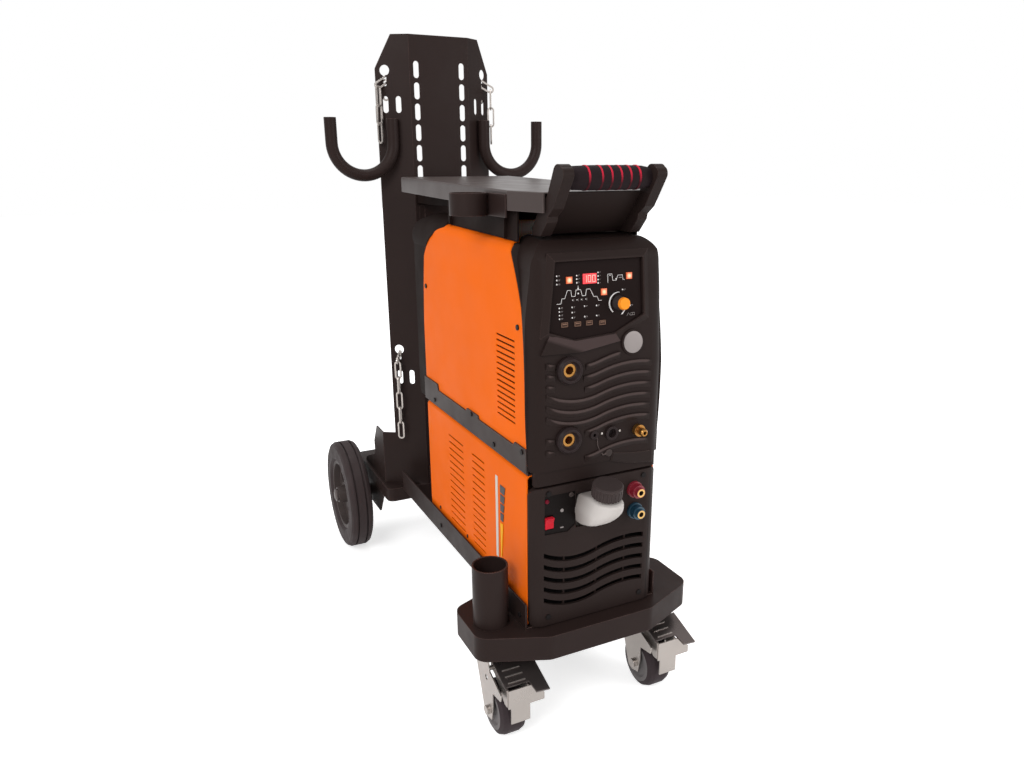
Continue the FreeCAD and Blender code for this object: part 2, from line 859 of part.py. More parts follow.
torch_ring = new_body("torch_ring")
ring_radius = dim("torch_ring_radius")
ring_x = -tray_side - ring_radius
RING_LOW = 877
STRAP = 2.5
ring_y = dim("torch_ring_y")
ring_top = RING_LOW + dim("torch_ring_height")
ring_walls = (hole(ring_x, ring_y, ring_radius), hole(ring_x, ring_y, ring_radius - STRAP))
grow(torch_ring, "XY", RING_LOW, ring_top, *ring_walls)
grow(torch_ring, "XY", RING_LOW, ring_top, box(-tray_side - STRAP, -422, -tray_side, ring_y))
nodes.append(torch_ring)

tray_support = new_body("tray_support")
tray_frame = Placement(Vector(0, number(tray_rear_y), number(tray_rear_z)), tilt)
pan = dim("tray_sheet")
grow(tray_support, "XY", -pan - 3, -pan, box(-107, -530, 107, -6), frame=tray_frame)
for low, high in both_sides(40, 60):
    rib = outline((171, 870), (171, 894), (80, 894), (80, 920.5), (-400, 912), (-400, 890), (60, 870))
    grow(tray_support, "YZ", low, high, rib)
grow(tray_support, "XZ", 171, face_y, box(-62, 866, 62, 905))
for low, high in both_sides(104, 107):
    side_plate = outline((-150, 848.2), (-150, 918), (-430, 912.5), (-430, 842))
    grow(tray_support, "YZ", low, high, side_plate)
for low, high in both_sides(107, 113):
    for stay_y, stay_top in ((-158, 917), (-392, 913)):
        stay = outline(
            (stay_y - 2.5, stay_top - 68),
            (stay_y + 2.5, stay_top - 68),
            (stay_y + 7, stay_top),
            (stay_y - 7, stay_top),
        )
        grow(tray_support, "YZ", low, high, stay)
nodes.append(tray_support)

arm_x = dim("arm_x")
half_arm = dim("arm_width") / 2
grip_y = dim("grip_y")
grip_z = dim("grip_z")
ARM = (
    (-437, 852),
    (-437, 862),
    (-462, 890),
    (-484.4, 908),
    (-489, 914),
    (-505, 945, 14),
    (-528, 950, 10),
    (-534, 935),
    (-505, 893),
    (-488, 881),
    (-486, 873),
    (-466, 852),
)
arms = []
for low, high in both_sides(arm_x - half_arm, arm_x + half_arm):
    arm = new_body("left_arm" if number(low) < 0 else "right_arm")
    grow(arm, "YZ", low, high, outline(*ARM))
    arms.append(arm)
handle_arms = group("handle_arms", arms)
nodes.append(handle_arms)

handle_apron = new_body("handle_apron")
APRON = ((-494, 914), (-438, 852.5), (-412, 852.5), (-412, 855.5), (-436.7, 855.5), (-491.8, 916))
apron_side = arm_x - half_arm
grow(handle_apron, "YZ", -apron_side, apron_side, outline(*APRON))
nodes.append(handle_apron)

handle_grip = new_body("handle_grip", 0, grip_y, grip_z)
grip_end = arm_x - half_arm
grip_radius = dim("grip_radius")
grip = outline(
    (-grip_end, 0),
    (grip_end, 0),
    (grip_end, grip_radius - 3),
    (grip_end - 12, grip_radius - 1),
    (28, grip_radius),
    (-28, grip_radius),
    (12 - grip_end, grip_radius - 1),
    (-grip_end, grip_radius - 3),
)
spin(handle_grip, "XZ", "X", grip)
nodes.append(handle_grip)

# --- Power source ---------------------------------------------------------------------------

case = dim("case_half_width")
case_inside = case - dim("case_sheet")
case_rear = dim("case_rear_y")
case_front = dim("case_front_y")
cover_bottom = dim("power_cover_bottom")
roof_z = dim("roof_z")
shoulder = dim("shoulder_radius")
crown_x = case - shoulder
crown_rise = dim("roof_crown")
sweep_radius = dim("front_sweep_radius")
sweep_z = dim("front_sweep_z")
sweep_top_y = -426
sweep_top_z = 836
hood_rear_y = -404
hood_rear_z = 846

power_cover = new_body("power_cover")
roof_frame = Placement(
    Vector(0, DIMENSIONS["roof_middle_y"], number(roof_z)),
    Rotation(Vector(1, 0, 0), DIMENSIONS["roof_tilt"]),
)


def arch(half_width, radius, drop):
    """The wrap of the cover, from a flat crown over round shoulders, down to its open foot."""
    flat_x = number(crown_x)
    rise = number(crown_rise)
    crown_radius = (flat_x**2 + rise**2) / (2 * rise)
    return [
        (half_width, -380),
        (half_width, -number(shoulder), radius),
        (flat_x, -drop, crown_radius),
        (-flat_x, -drop, radius),
        (-half_width, -number(shoulder)),
        (-half_width, -380),
    ]


outer = arch(number(case), number(shoulder), 0)
inner = arch(number(case_inside), number(shoulder) - 2, 2)
back_way = [
    (inner[5][0], inner[5][1]),
    (inner[4][0], inner[4][1], -inner[3][2]),
    (inner[3][0], inner[3][1], -inner[2][2]),
    (inner[2][0], inner[2][1], -inner[1][2]),
    (inner[1][0], inner[1][1]),
    (inner[0][0], inner[0][1]),
]
grow(power_cover, "XZ", -240, 290, outline(*outer, *back_way), frame=roof_frame)
cut(power_cover, "YZ", -130, 130, box(-560, 420, 60, cover_bottom))
front_edge = outline(
    (case_front, 480),
    (case_front, sweep_z, -sweep_radius),
    (sweep_top_y, sweep_top_z),
    (hood_rear_y, hood_rear_z),
    (hood_rear_y, 870),
    (-560, 870),
    (-560, 480),
)
cut(power_cover, "YZ", -130, 130, front_edge)
rear_edge = outline(
    (case_rear, 480),
    (60, 480),
    (60, 870),
    (-136, 870),
    (-136, 843),
    (-119, 839, -90),
    (-86, 825, -110),
    (-31.8, 781),
    (-22.7, 726),
    (case_rear, 650),
)
cut(power_cover, "YZ", -130, 130, rear_edge)
LOUVRES = 15
LOUVRE_HEIGHT = 3
LOWEST_LOUVRE = 558.5
lowest_slit = box(-444, LOWEST_LOUVRE, -374, LOWEST_LOUVRE + LOUVRE_HEIGHT)
louvre = cut(power_cover, "YZ", -130, 130, lowest_slit)
row(power_cover, [louvre], "Z", dim("louvre_pitch") * (LOUVRES - 1), LOUVRES)
nodes.append(power_cover)

power_front_bezel = new_body("power_front_bezel")
bezel_face = dim("face_y")
lean_z = dim("face_lean_z")
front_view = outline(
    (-117, 493),
    (117, 493),
    (120, 500, 1500),
    (113, 804, 45),
    (76, 850),
    (-76, 850, 45),
    (-113, 804, 1500),
    (-120, 500),
)
grow(power_front_bezel, "XZ", bezel_face, hood_rear_y, front_view)
nose_cut = outline(
    (bezel_face, lean_z),
    (-490, 816, -40),
    (-468, 846),
    (-435, 848),
    (hood_rear_y - 2, 848),
    (hood_rear_y - 2, 870),
    (-520, 870),
    (-520, lean_z),
)
cut(power_front_bezel, "YZ", -130, 130, nose_cut)
back_cut = outline(
    (case_front, 480),
    (-390, 480),
    (-390, 870),
    (hood_rear_y, 870),
    (hood_rear_y, hood_rear_z),
    (sweep_top_y, sweep_top_z, sweep_radius),
    (case_front, sweep_z),
)
cut(power_front_bezel, "YZ", -130, 130, back_cut)
lip = box(-112.5, 469, 112.5, 493)
grow(power_front_bezel, "XZ", bezel_face + 2, case_front, lip)
cavity = outline((-108, 505), (108, 505), (108, 760), (96, 790), (-96, 790), (-108, 760))
cut(power_front_bezel, "XZ", -484, -390, cavity)
front_room = outline((-497, 512), (-483, 512), (-483, 785), (-484.5, 785), (-491, 700), (-497, 652))
cut(power_front_bezel, "YZ", -100, 100, front_room)
face_frame = Placement(
    Vector(0, number(bezel_face), number(lean_z)), Rotation(Vector(1, 0, 0), -DIMENSIONS["face_lean"])
)


def up_face(z):
    """The distance up the leaning face that reaches a height z."""
    return (z - number(lean_z)) / math.cos(math.radians(DIMENSIONS["face_lean"]))


# The front's upright corners are round, both below the leaning face and on it
corner_radius = dim("front_corner_radius")


def front_corners(face, side):
    """The two corner pieces outside the round corners of a front, seen from above."""
    flat_x = number(case) - 24
    rise = number(corner_radius) - math.sqrt(number(corner_radius) ** 2 - (side - flat_x) ** 2)
    right = outline(
        (flat_x, face, corner_radius),
        (side, face + rise),
        (side + 9, face + rise),
        (side + 9, face - 9),
        (flat_x, face - 9),
    )
    left = outline(
        (-flat_x, face, -corner_radius),
        (-side, face + rise),
        (-side - 9, face + rise),
        (-side - 9, face - 9),
        (-flat_x, face - 9),
    )
    return left, right


cut(power_front_bezel, "XY", 460, lean_z, *front_corners(number(bezel_face), number(case)))
cut(power_front_bezel, "XY", 0, 200, *front_corners(0, number(case)), frame=face_frame)

dip_radius = dim("wave_dip_radius")
crest_radius = dim("wave_crest_radius")
dip_x = number(dim("wave_dip_x"))
crest_x = number(dim("wave_crest_x"))
wave_height = number(dim("wave_height"))
turn_x = dip_x + (crest_x - dip_x) * number(dip_radius) / number(dip_radius + crest_radius)


def wave_z(x, dip_z):
    """Height on a wave made of a dip arc and a crest arc that meet with one slope."""
    dip, crest = number(dip_radius), number(crest_radius)
    if x < turn_x:
        return dip_z + dip - math.sqrt(dip**2 - (x - dip_x) ** 2)
    return dip_z + wave_height - crest + math.sqrt(crest**2 - (x - crest_x) ** 2)


def wave_band(left, right, dip_z, height):
    """A band of even height between two waves."""
    low = dip_z - height / 2
    high = dip_z + height / 2
    return outline(
        (left, wave_z(left, low), dip_radius),
        (turn_x, wave_z(turn_x, low), -crest_radius),
        (right, wave_z(right, low)),
        (right, wave_z(right, high), crest_radius),
        (turn_x, wave_z(turn_x, high), -dip_radius),
        (left, wave_z(left, high)),
    )


# Wave-shaped ribs on the front: the left end, right end and lowest height of each
RIB_HEIGHT = 4.5
RIB_END = 95
WAVE_RIBS = (
    (-26, RIB_END, 506),
    (-26, RIB_END, 548.5),
    (-95, RIB_END, 566.5),
    (-95, RIB_END, 584.5),
    (-95, RIB_END, 602.5),
    (-28, RIB_END, 620.5),
    (-30, RIB_END, 638.5),
    (-26, 36, 656.5),
)
for left_end, right_end, dip_z in WAVE_RIBS:
    grow(power_front_bezel, "XZ", -503.2, -499, wave_band(left_end, right_end, dip_z, RIB_HEIGHT))
for stub_z in (526, 545, 631, 648, 665):
    stub = outline((-95, stub_z - 2), (-81, stub_z - 5), (-81, stub_z - 1), (-95, stub_z + 2))
    grow(power_front_bezel, "XZ", -503.2, -499, stub)

# A chevron lip below the panel and the boss of the badge
LIP = ((-88, 710), (-104, 681), (-37, 679), (35, 690), (27, 702), (-45, 697.5))
lip_edge = outline(*[(x, up_face(z)) for x, z in LIP])
grow(power_front_bezel, "XZ", -3.5, 1, lip_edge, frame=face_frame)
BADGE = (59.3, 685.7)
BADGE_BOSS = 20.5
grow(power_front_bezel, "XZ", -2.5, 1, hole(BADGE[0], up_face(BADGE[1]), BADGE_BOSS), frame=face_frame)

PANEL = ((-76, 816), (-89, 714), (-45, 699), (27, 704), (78, 729), (76, 816))
panel_edge = outline(*[(x, up_face(z)) for x, z in reversed(PANEL)])
cut(power_front_bezel, "XZ", -20, number(dim("panel_depth")), panel_edge, frame=face_frame)
DINSE_X = -56
DINSE_Z = (653.6, 541.3)
SOCKET_NECK = 15
PIN_SOCKET = (-9.7, 542.3, 5)
REMOTE_SOCKET = (23, 540.5, 9.5)
GAS_OUTLET = (73.4, 538.3)
GAS_NECK = 6
SMALL_LIP = 1.8
for socket_z in DINSE_Z:
    cut(power_front_bezel, "XZ", -520, -480, hole(DINSE_X, socket_z, SOCKET_NECK))
for socket_x, socket_z, socket_radius in (PIN_SOCKET, REMOTE_SOCKET, (*GAS_OUTLET, GAS_NECK)):
    cut(power_front_bezel, "XZ", -520, -480, hole(socket_x, socket_z, socket_radius))
nodes.append(power_front_bezel)

power_rear_bezel = new_body("power_rear_bezel")
rear_view = outline(
    (-118, 489),
    (118, 489),
    (case, 500),
    (case, 800, 50),
    (80, 865),
    (-80, 865, 50),
    (-case, 800),
    (-case, 500),
)
grow(power_rear_bezel, "XZ", -136, 27, rear_view)
top_cut = outline(
    (-136, 850),
    (-120, 862, -60),
    (-83, 865, -300),
    (15, 844, -30),
    (27, 815),
    (60, 815),
    (60, 900),
    (-150, 900),
    (-150, 850),
)
cut(power_rear_bezel, "YZ", -130, 130, top_cut)
front_cut = outline(
    (case_rear, 480),
    (case_rear, 650),
    (-22.7, 726),
    (-31.8, 781, 110),
    (-86, 825, 90),
    (-119, 839),
    (-136, 843),
    (-160, 843),
    (-160, 480),
)
cut(power_rear_bezel, "YZ", -130, 130, front_cut)
rear_cavity = outline((-112, 496), (112, 496), (112, 800), (80, 835), (-80, 835), (-112, 800))
cut(power_rear_bezel, "XZ", -160, 19, rear_cavity)
POWER_FAN_Z = 645
COOLER_FAN_Z = 350


def fan_grille(body, low, high, fan_z):
    """Round openings in rings about a fan's axis, left by spokes and rings of the panel."""
    for inner_radius, outer_radius in ((26, 42), (46, 60)):
        for quarter in range(4):
            start = math.radians(quarter * 90 + 8)
            end = math.radians(quarter * 90 + 82)
            corners = (
                (inner_radius * math.cos(start), fan_z + inner_radius * math.sin(start)),
                (outer_radius * math.cos(start), fan_z + outer_radius * math.sin(start), outer_radius),
                (outer_radius * math.cos(end), fan_z + outer_radius * math.sin(end)),
                (inner_radius * math.cos(end), fan_z + inner_radius * math.sin(end), -inner_radius),
            )
            cut(body, "XZ", low, high, outline(*corners))


fan_grille(power_rear_bezel, 10, 40, POWER_FAN_Z)
nodes.append(power_rear_bezel)

unit_bases = []
for name, base_low, base_high, base_front in (
    ("power_base", dim("power_bottom"), cover_bottom + 2, case_front + 4),
    ("cooler_base", dim("cooler_bottom"), dim("cooler_bottom") + 23, dim("cooler_case_front_y") + 6),
):
    base = new_body(name)
    pan_sheet = dim("case_sheet")
    walls = outline(
        (-case_inside, base_low),
        (case_inside, base_low),
        (case_inside, base_high),
        (case_inside - pan_sheet, base_high),
        (case_inside - pan_sheet, base_low + pan_sheet),
        (pan_sheet - case_inside, base_low + pan_sheet),
        (pan_sheet - case_inside, base_high),
        (-case_inside, base_high),
    )
    grow(base, "XZ", base_front, case_rear - 2, walls)
    unit_bases.append(base)
nodes.append(group("unit_bases", unit_bases))

side_straps = []
for name, (low, high) in zip(("left_strap", "right_strap"), both_sides(case, case + 3)):
    strap = new_body(name)
    strap_outline = outline(
        (-12, 490),
        (-12, 536),
        (-86, 536),
        (-90, 524),
        (-238, 524),
        (-242, 530),
        (-292, 530),
        (-296, 524),
        (-441, 524),
        (-445, 530),
        (-485, 530),
        (-487, 524),
        (-487, 490),
    )
    grow(strap, "YZ", low, high, strap_outline)
    side_straps.append(strap)
nodes.append(group("side_straps", side_straps))

# Leaning control panel: everything on it is drawn in the frame of the front face.
face_turn = Rotation(Vector(1, 0, 0), -DIMENSIONS["face_lean"])


def on_face(label, x, z):
    """A body whose origin lies on the leaning face."""
    point = face_frame.multVec(Vector(x, 0, up_face(z)))
    return new_body(label, point.x, point.y, point.z, face_turn)


PANEL_GAP = 0.3
FASCIA = 2
BUTTON = 5
BUTTONS = {
    "trigger_mode_button": (-51.3, 788.7),
    "process_button": (54.1, 789),
    "parameter_button": (8.6, 767.4),
}
KEY = (6, 4)
KEYS = ((-61, 723), (-38.5, 722.5), (-18, 722.5), (5, 721))
DISPLAY = (-16, 789)
DISPLAY_SIZE = (12, 7.5)
KNOB = (35, 748.6)
KNOB_SHAFT = 3
control_fascia = on_face("control_fascia", 0, number(lean_z))
depth = number(dim("panel_depth"))
fascia_edge = [(x * 0.996, up_face(757 + (z - 757) * 0.996)) for x, z in reversed(PANEL)]


def face_box(x, z, half_width, half_height):
    """A rectangle on the leaning face about a point."""
    return box(x - half_width, up_face(z) - half_height, x + half_width, up_face(z) + half_height)


fascia_holes = [face_box(x, z, BUTTON + PANEL_GAP, BUTTON + PANEL_GAP) for x, z in BUTTONS.values()]
fascia_holes += [face_box(x, z, KEY[0] + PANEL_GAP, KEY[1] + PANEL_GAP) for x, z in KEYS]
display_hole = face_box(*DISPLAY, *DISPLAY_SIZE)
fascia_holes += [display_hole, hole(KNOB[0], up_face(KNOB[1]), KNOB_SHAFT + PANEL_GAP)]
grow(control_fascia, "XZ", depth - FASCIA, depth, outline(*fascia_edge), *fascia_holes)
nodes.append(control_fascia)

display_window = on_face("display_window", 0, number(lean_z))
grow(display_window, "XZ", depth - FASCIA - 0.5, depth, display_hole)
nodes.append(display_window)

TRAVEL = 1
for label, (x, z) in BUTTONS.items():
    button = on_face(label, x, z)
    grow(button, "XZ", depth - FASCIA - 1.5, depth - TRAVEL - 0.3, box(-BUTTON, -BUTTON, BUTTON, BUTTON))
    round_edges(button, 0.6, lambda edge: edge.Length > 9 and middle(edge).y < -0.3)
    nodes.append(button)
for index, (x, z) in enumerate(KEYS, start=1):
    key = on_face(f"function_key_{index}", x, z)
    grow(key, "XZ", depth - FASCIA - 1, depth - TRAVEL - 0.3, box(-KEY[0], -KEY[1], KEY[0], KEY[1]))
    nodes.append(key)

encoder_knob = on_face("encoder_knob", *KNOB)
knob_section = outline(
    (depth - FASCIA - PANEL_GAP, 0),
    (depth - FASCIA - PANEL_GAP, 11.5),
    (-3, 11),
    (-14, 9.5),
    (-18, 9),
    (-19, 8),
    (-19, 0),
)
spin(encoder_knob, "YZ", "Y", knob_section)
nodes.append(encoder_knob)

inserts = []
bodies = []
for name, socket_z in zip(("negative", "positive"), DINSE_Z):
    body_ring = new_body(f"{name}_socket_body", DINSE_X, number(bezel_face), socket_z)
    ring = dim("dinse_ring_radius")
    brass = dim("dinse_brass_radius")
    neck = SOCKET_NECK - 0.2
    ring_section = outline(
        (0, brass),
        (16, brass),
        (16, neck),
        (0, neck),
        (0, ring),
        (-6, ring),
        (-10, ring - 3),
        (-10, ring - 6),
        (-4, brass + 1),
        (-4, brass),
    )
    spin(body_ring, "YZ", "Y", ring_section)
    bodies.append(body_ring)
    insert = new_body(f"{name}_insert", DINSE_X, number(bezel_face), socket_z)
    dinse_bore = dim("dinse_bore_radius")
    insert_section = outline((-2.5, dinse_bore), (-2.5, brass), (24, brass), (24, 0), (20, 0), (20, dinse_bore))
    spin(insert, "YZ", "Y", insert_section)
    inserts.append(insert)
for name, (x, z, radius) in (("torch_socket", PIN_SOCKET), ("remote_socket", REMOTE_SOCKET)):
    small = new_body(name, x, number(bezel_face), z)
    bore = radius - 2
    small_section = outline(
        (8, 0),
        (8, radius - 0.2),
        (0, radius - 0.2),
        (0, radius + SMALL_LIP),
        (-4, radius + SMALL_LIP),
        (-4, bore),
        (4, bore),
        (4, 0),
    )
    spin(small, "YZ", "Y", small_section)
    bodies.append(small)
gas = new_body("gas_outlet", GAS_OUTLET[0], number(bezel_face), GAS_OUTLET[1])
gas_section = outline(
    (-22, 3),
    (-22, 5),
    (-20, 6.5),
    (-8, 6.5),
    (-8, 10),
    (0, 10),
    (0, 5.8),
    (14, 5.8),
    (14, 0),
    (4, 0),
    (4, 3),
)
spin(gas, "YZ", "Y", gas_section)
inserts.append(gas)
nodes.append(group("brass_fittings", inserts))
nodes.append(group("socket_bodies", bodies))

inverter_module = new_body("inverter_module")
grow(inverter_module, "XY", dim("power_bottom") + 2, 620, box(-85, -440, -2, -90))
FINS = 12
fin_gap = cut(inverter_module, "XZ", -445, -85, box(-80, 505, -77, 600))
row(inverter_module, [fin_gap], "X", 6 * (FINS - 1), FINS)
nodes.append(inverter_module)

main_transformer = new_body("main_transformer")
grow(main_transformer, "XY", dim("power_bottom") + 2, 600, box(15, -300, 100, -180))
cut(main_transformer, "XZ", -310, -170, box(35, 505, 50, 582), box(65, 505, 80, 582))
nodes.append(main_transformer)

# --- Water cooler ---------------------------------------------------------------------------

cooler_bottom = dim("cooler_bottom")
cooler_top = dim("power_bottom")
cooler_face = dim("cooler_face_y")
wall = dim("case_sheet")
cooler_foot = cooler_bottom + wall
cooler_front = dim("cooler_case_front_y")
EDGE = 8
cooler_cover = new_body("cooler_cover")
wrap = outline(
    (case, cooler_foot),
    (case, cooler_top - EDGE, EDGE),
    (case - EDGE, cooler_top),
    (EDGE - case, cooler_top, EDGE),
    (-case, cooler_top - EDGE),
    (-case, cooler_foot),
    (-case_inside, cooler_foot),
    (-case_inside, cooler_top - EDGE, wall - EDGE),
    (EDGE - case, cooler_top - wall),
    (case - EDGE, cooler_top - wall, wall - EDGE),
    (case_inside, cooler_top - EDGE),
    (case_inside, cooler_foot),
)
grow(cooler_cover, "XZ", cooler_front, case_rear, wrap)
COOLER_LOUVRES = 14
COOLER_LOUVRE_PITCH = 13.6
SLIT = 3
slits = [box(rear, 268, front, 268 + SLIT) for rear, front in ((-211, -135), (-312, -254))]
lowest_slits = cut(cooler_cover, "YZ", -130, 130, *slits)
row(cooler_cover, [lowest_slits], "Z", COOLER_LOUVRE_PITCH * (COOLER_LOUVRES - 1), COOLER_LOUVRES)
GAUGE = (-371, 291, -362, 444)
cut(cooler_cover, "YZ", -125, -110, box(*GAUGE))
nodes.append(cooler_cover)

cooler_front_bezel = new_body("cooler_front_bezel")
bezel_side = 119
bezel_top = 465
front_shape = outline(
    (10 - bezel_side, cooler_bottom),
    (bezel_side - 10, cooler_bottom, 10),
    (bezel_side, cooler_bottom + 10),
    (bezel_side, bezel_top - 14, 14),
    (bezel_side - 14, bezel_top),
    (14 - bezel_side, bezel_top, 14),
    (-bezel_side, bezel_top - 14),
    (-bezel_side, cooler_bottom + 10, 10),
)
grow(cooler_front_bezel, "XZ", cooler_face, cooler_front, front_shape)
cut(cooler_front_bezel, "XY", 200, 480, *front_corners(number(cooler_face), bezel_side))
SKIN = 5
grow(cooler_front_bezel, "XZ", cooler_front, cooler_front + 5.5, box(-117, cooler_foot + 0.5, 117, 460))
cut(cooler_front_bezel, "XZ", cooler_face + SKIN, cooler_front + 6, box(-105, 226, 105, 453))
SWITCH_RECESS = ((-96, 384), (-54, 382), (-40, 392), (-40, 451), (-96, 451))
cut(cooler_front_bezel, "XZ", cooler_face - 1, cooler_face + 1.5, outline(*SWITCH_RECESS))

# The wave-shaped air slots below
VENTS = 5
VENT_LEFT = -97.5
VENT_RIGHT = 94
TOP_VENT_DIP = 331.8
top_vent = wave_band(VENT_LEFT, VENT_RIGHT, TOP_VENT_DIP, number(dim("vent_height")))
vent = cut(cooler_front_bezel, "XZ", -510, -480, top_vent)
row(cooler_front_bezel, [vent], "Z", dim("wave_pitch") * (VENTS - 1), VENTS, back=True)
for rib_x in (-58, 4, 59):
    grow(cooler_front_bezel, "XZ", -495, -491, box(rib_x - 1.5, 240, rib_x + 1.5, 356))
SPOUT_LEFT = -38
SPOUT_RIGHT = 24
ROCKER = (-88, 404)
COUPLINGS = ((72, 433), (74, 394))
LAMP = (-91.4, 441.4)
cut(cooler_front_bezel, "XZ", -510, -480, box(SPOUT_LEFT - 1, 386, SPOUT_RIGHT + 1, 446))
rocker_hole = box(ROCKER[0] - 8, ROCKER[1] - 12.2, ROCKER[0] + 8, ROCKER[1] + 12.2)
cut(cooler_front_bezel, "XZ", -510, -480, rocker_hole)
for coupling_x, coupling_z in COUPLINGS:
    cut(cooler_front_bezel, "XZ", -510, -480, hole(coupling_x, coupling_z, 9))
cut(cooler_front_bezel, "XZ", -510, -480, hole(*LAMP, 4))
nodes.append(cooler_front_bezel)

cooler_rear_panel = new_body("cooler_rear_panel")
grow(cooler_rear_panel, "XZ", case_rear, case_rear + 12, box(-case + 2, cooler_foot, case - 2, cooler_top - 2))
round_edges(cooler_rear_panel, 9, lambda edge: middle(edge).y > number(case_rear) + 11.9)
cut(cooler_rear_panel, "XZ", number(case_rear) - 1, case_rear + 9, box(-108, 230, 108, 472))
fan_grille(cooler_rear_panel, -12, 10, COOLER_FAN_Z)
nodes.append(cooler_rear_panel)

coolant_tank = new_body("coolant_tank")
grow(coolant_tank, "XY", cooler_foot, 470, box(-113, -462, 60, -340))
spout = outline(
    (-462, 388),
    (-500, 388),
    (-530, 391, 60),
    (-556, 402, 40),
    (-571, 428),
    (-567, 442),
    (-520, 445),
    (-462, 445),
)
grow(coolant_tank, "YZ", SPOUT_LEFT, SPOUT_RIGHT, spout)
cap_turn = Rotation(Vector(1, 0, 0), DIMENSIONS["cap_tilt"])
CAP_HEIGHT = 21
cap_seat = Placement(Vector(-7.2, -541.4, 452.7), cap_turn)
CAP_BORE = 20.3
grow(coolant_tank, "XY", -14, CAP_HEIGHT - 5, hole(0, 0, 20), frame=cap_seat)
cut(coolant_tank, "XZ", -590, -502, outline((0, 380), (30, 380), (30, 424), (SPOUT_RIGHT, 424)))
cut(coolant_tank, "XY", 380, 450, box(SPOUT_LEFT - 1, -590, SPOUT_LEFT + 9, -534))
nodes.append(coolant_tank)

filler_cap = new_body("filler_cap", -7.2, -541.4, 452.7, cap_turn)
cap_radius = dim("cap_radius")
cap_section = outline(
    (0, CAP_HEIGHT - 4),
    (CAP_BORE, CAP_HEIGHT - 4),
    (CAP_BORE, 0),
    (cap_radius, 0),
    (cap_radius, CAP_HEIGHT - 2),
    (cap_radius - 2, CAP_HEIGHT),
    (0, CAP_HEIGHT),
)
spin(filler_cap, "XZ", "Z", cap_section)
CAP_NOTCHES = 24
notch = cut(filler_cap, "XY", -1, CAP_HEIGHT - 4, hole(cap_radius + 0.6, 0, 1.6))
ring_of(filler_cap, [notch], "Z", CAP_NOTCHES)
nodes.append(filler_cap)

hose_couplings = []
for name, (x, z) in zip(("return_coupling", "supply_coupling"), COUPLINGS):
    coupling = new_body(name, x, number(cooler_face), z)
    shape = outline(
        (-22, 4),
        (-22, 8),
        (-16, 8.5),
        (-16, 11.5),
        (-5, 12.5),
        (-5, 14),
        (0, 14),
        (0, 8.8),
        (14, 8.8),
        (14, 0),
        (6, 0),
        (6, 4),
    )
    spin(coupling, "YZ", "Y", shape)
    hose_couplings.append(coupling)
nodes.append(group("hose_couplings", hose_couplings))

level_gauge = new_body("level_gauge")
grow(level_gauge, "YZ", -121, -118, box(GAUGE[0] + 0.2, GAUGE[1] + 0.2, GAUGE[2] - 0.2, GAUGE[3] - 0.2))
grow(level_gauge, "YZ", -118, -116.2, box(GAUGE[0] - 3, GAUGE[1] - 4, GAUGE[2] + 3, GAUGE[3] + 4))
nodes.append(level_gauge)

power_rocker = new_body("power_rocker", ROCKER[0], -496, ROCKER[1])
rocker_shape = outline((6, -7), (6, 7), (-2, 9.5), (-9, 9.5), (-5.5, 0), (-5.5, -9.5), (-2, -9.5))
grow(power_rocker, "YZ", -7.4, 7.4, rocker_shape)
nodes.append(power_rocker)

coolant_pump = new_body("coolant_pump", 45, -230, 278)
pump_section = outline((-70, 0), (50, 0), (50, 30), (-20, 30), (-20, 38), (-50, 38), (-50, 24), (-70, 24))
spin(coolant_pump, "YZ", "Y", pump_section)
grow(coolant_pump, "XY", number(cooler_foot) - 278, -20, box(-26, -40, 26, 40))
nodes.append(coolant_pump)

radiator = new_body("radiator")
grow(radiator, "XZ", -88, -58, box(-104, cooler_foot, 104, 455))
FIN_SLOTS = 14
fin_slot = cut(radiator, "XZ", -90, -50, box(-92, 245, 92, 252))
row(radiator, [fin_slot], "Z", 14 * (FIN_SLOTS - 1), FIN_SLOTS)
nodes.append(radiator)

BLADES = 7
FANS = (("power_fan_rotor", 18.4, POWER_FAN_Z), ("cooler_fan_rotor", -7.2, COOLER_FAN_Z))
for label, fan_y, fan_z in FANS:
    rotor = new_body(label, 0, fan_y, fan_z)
    spin(rotor, "YZ", "Y", outline((-26, 0), (0, 0), (0, 18), (-24, 20), (-26, 18)))
    pitch = Placement(Vector(0, -13, 0), Rotation(Vector(0, 0, 1), 35))
    blade = grow(rotor, "XY", 15, 57, box(-14, -1, 14, 1), frame=pitch)
    ring_of(rotor, [blade], "Y", BLADES)
    nodes.append(rotor)

# --- Cylinder chains ------------------------------------------------------------------------

link_length = dim("link_length")
link_width = dim("link_width")
wire = dim("link_wire")
LINK_DROP = 35.9
HOOK_YAW = 35


def chain_link(label, frame, plane):
    """One flat link, upright in its frame, seen face-on (XZ) or edge-on (YZ)."""
    point = frame.Base
    link = new_body(label, point.x, point.y, point.z, frame.Rotation)
    ring = (
        upright_slot(0, 0, link_length, link_width),
        upright_slot(0, 0, link_length - 2 * wire, link_width - 2 * wire),
    )
    grow(link, plane, -wire / 2, wire / 2, *ring)
    return link


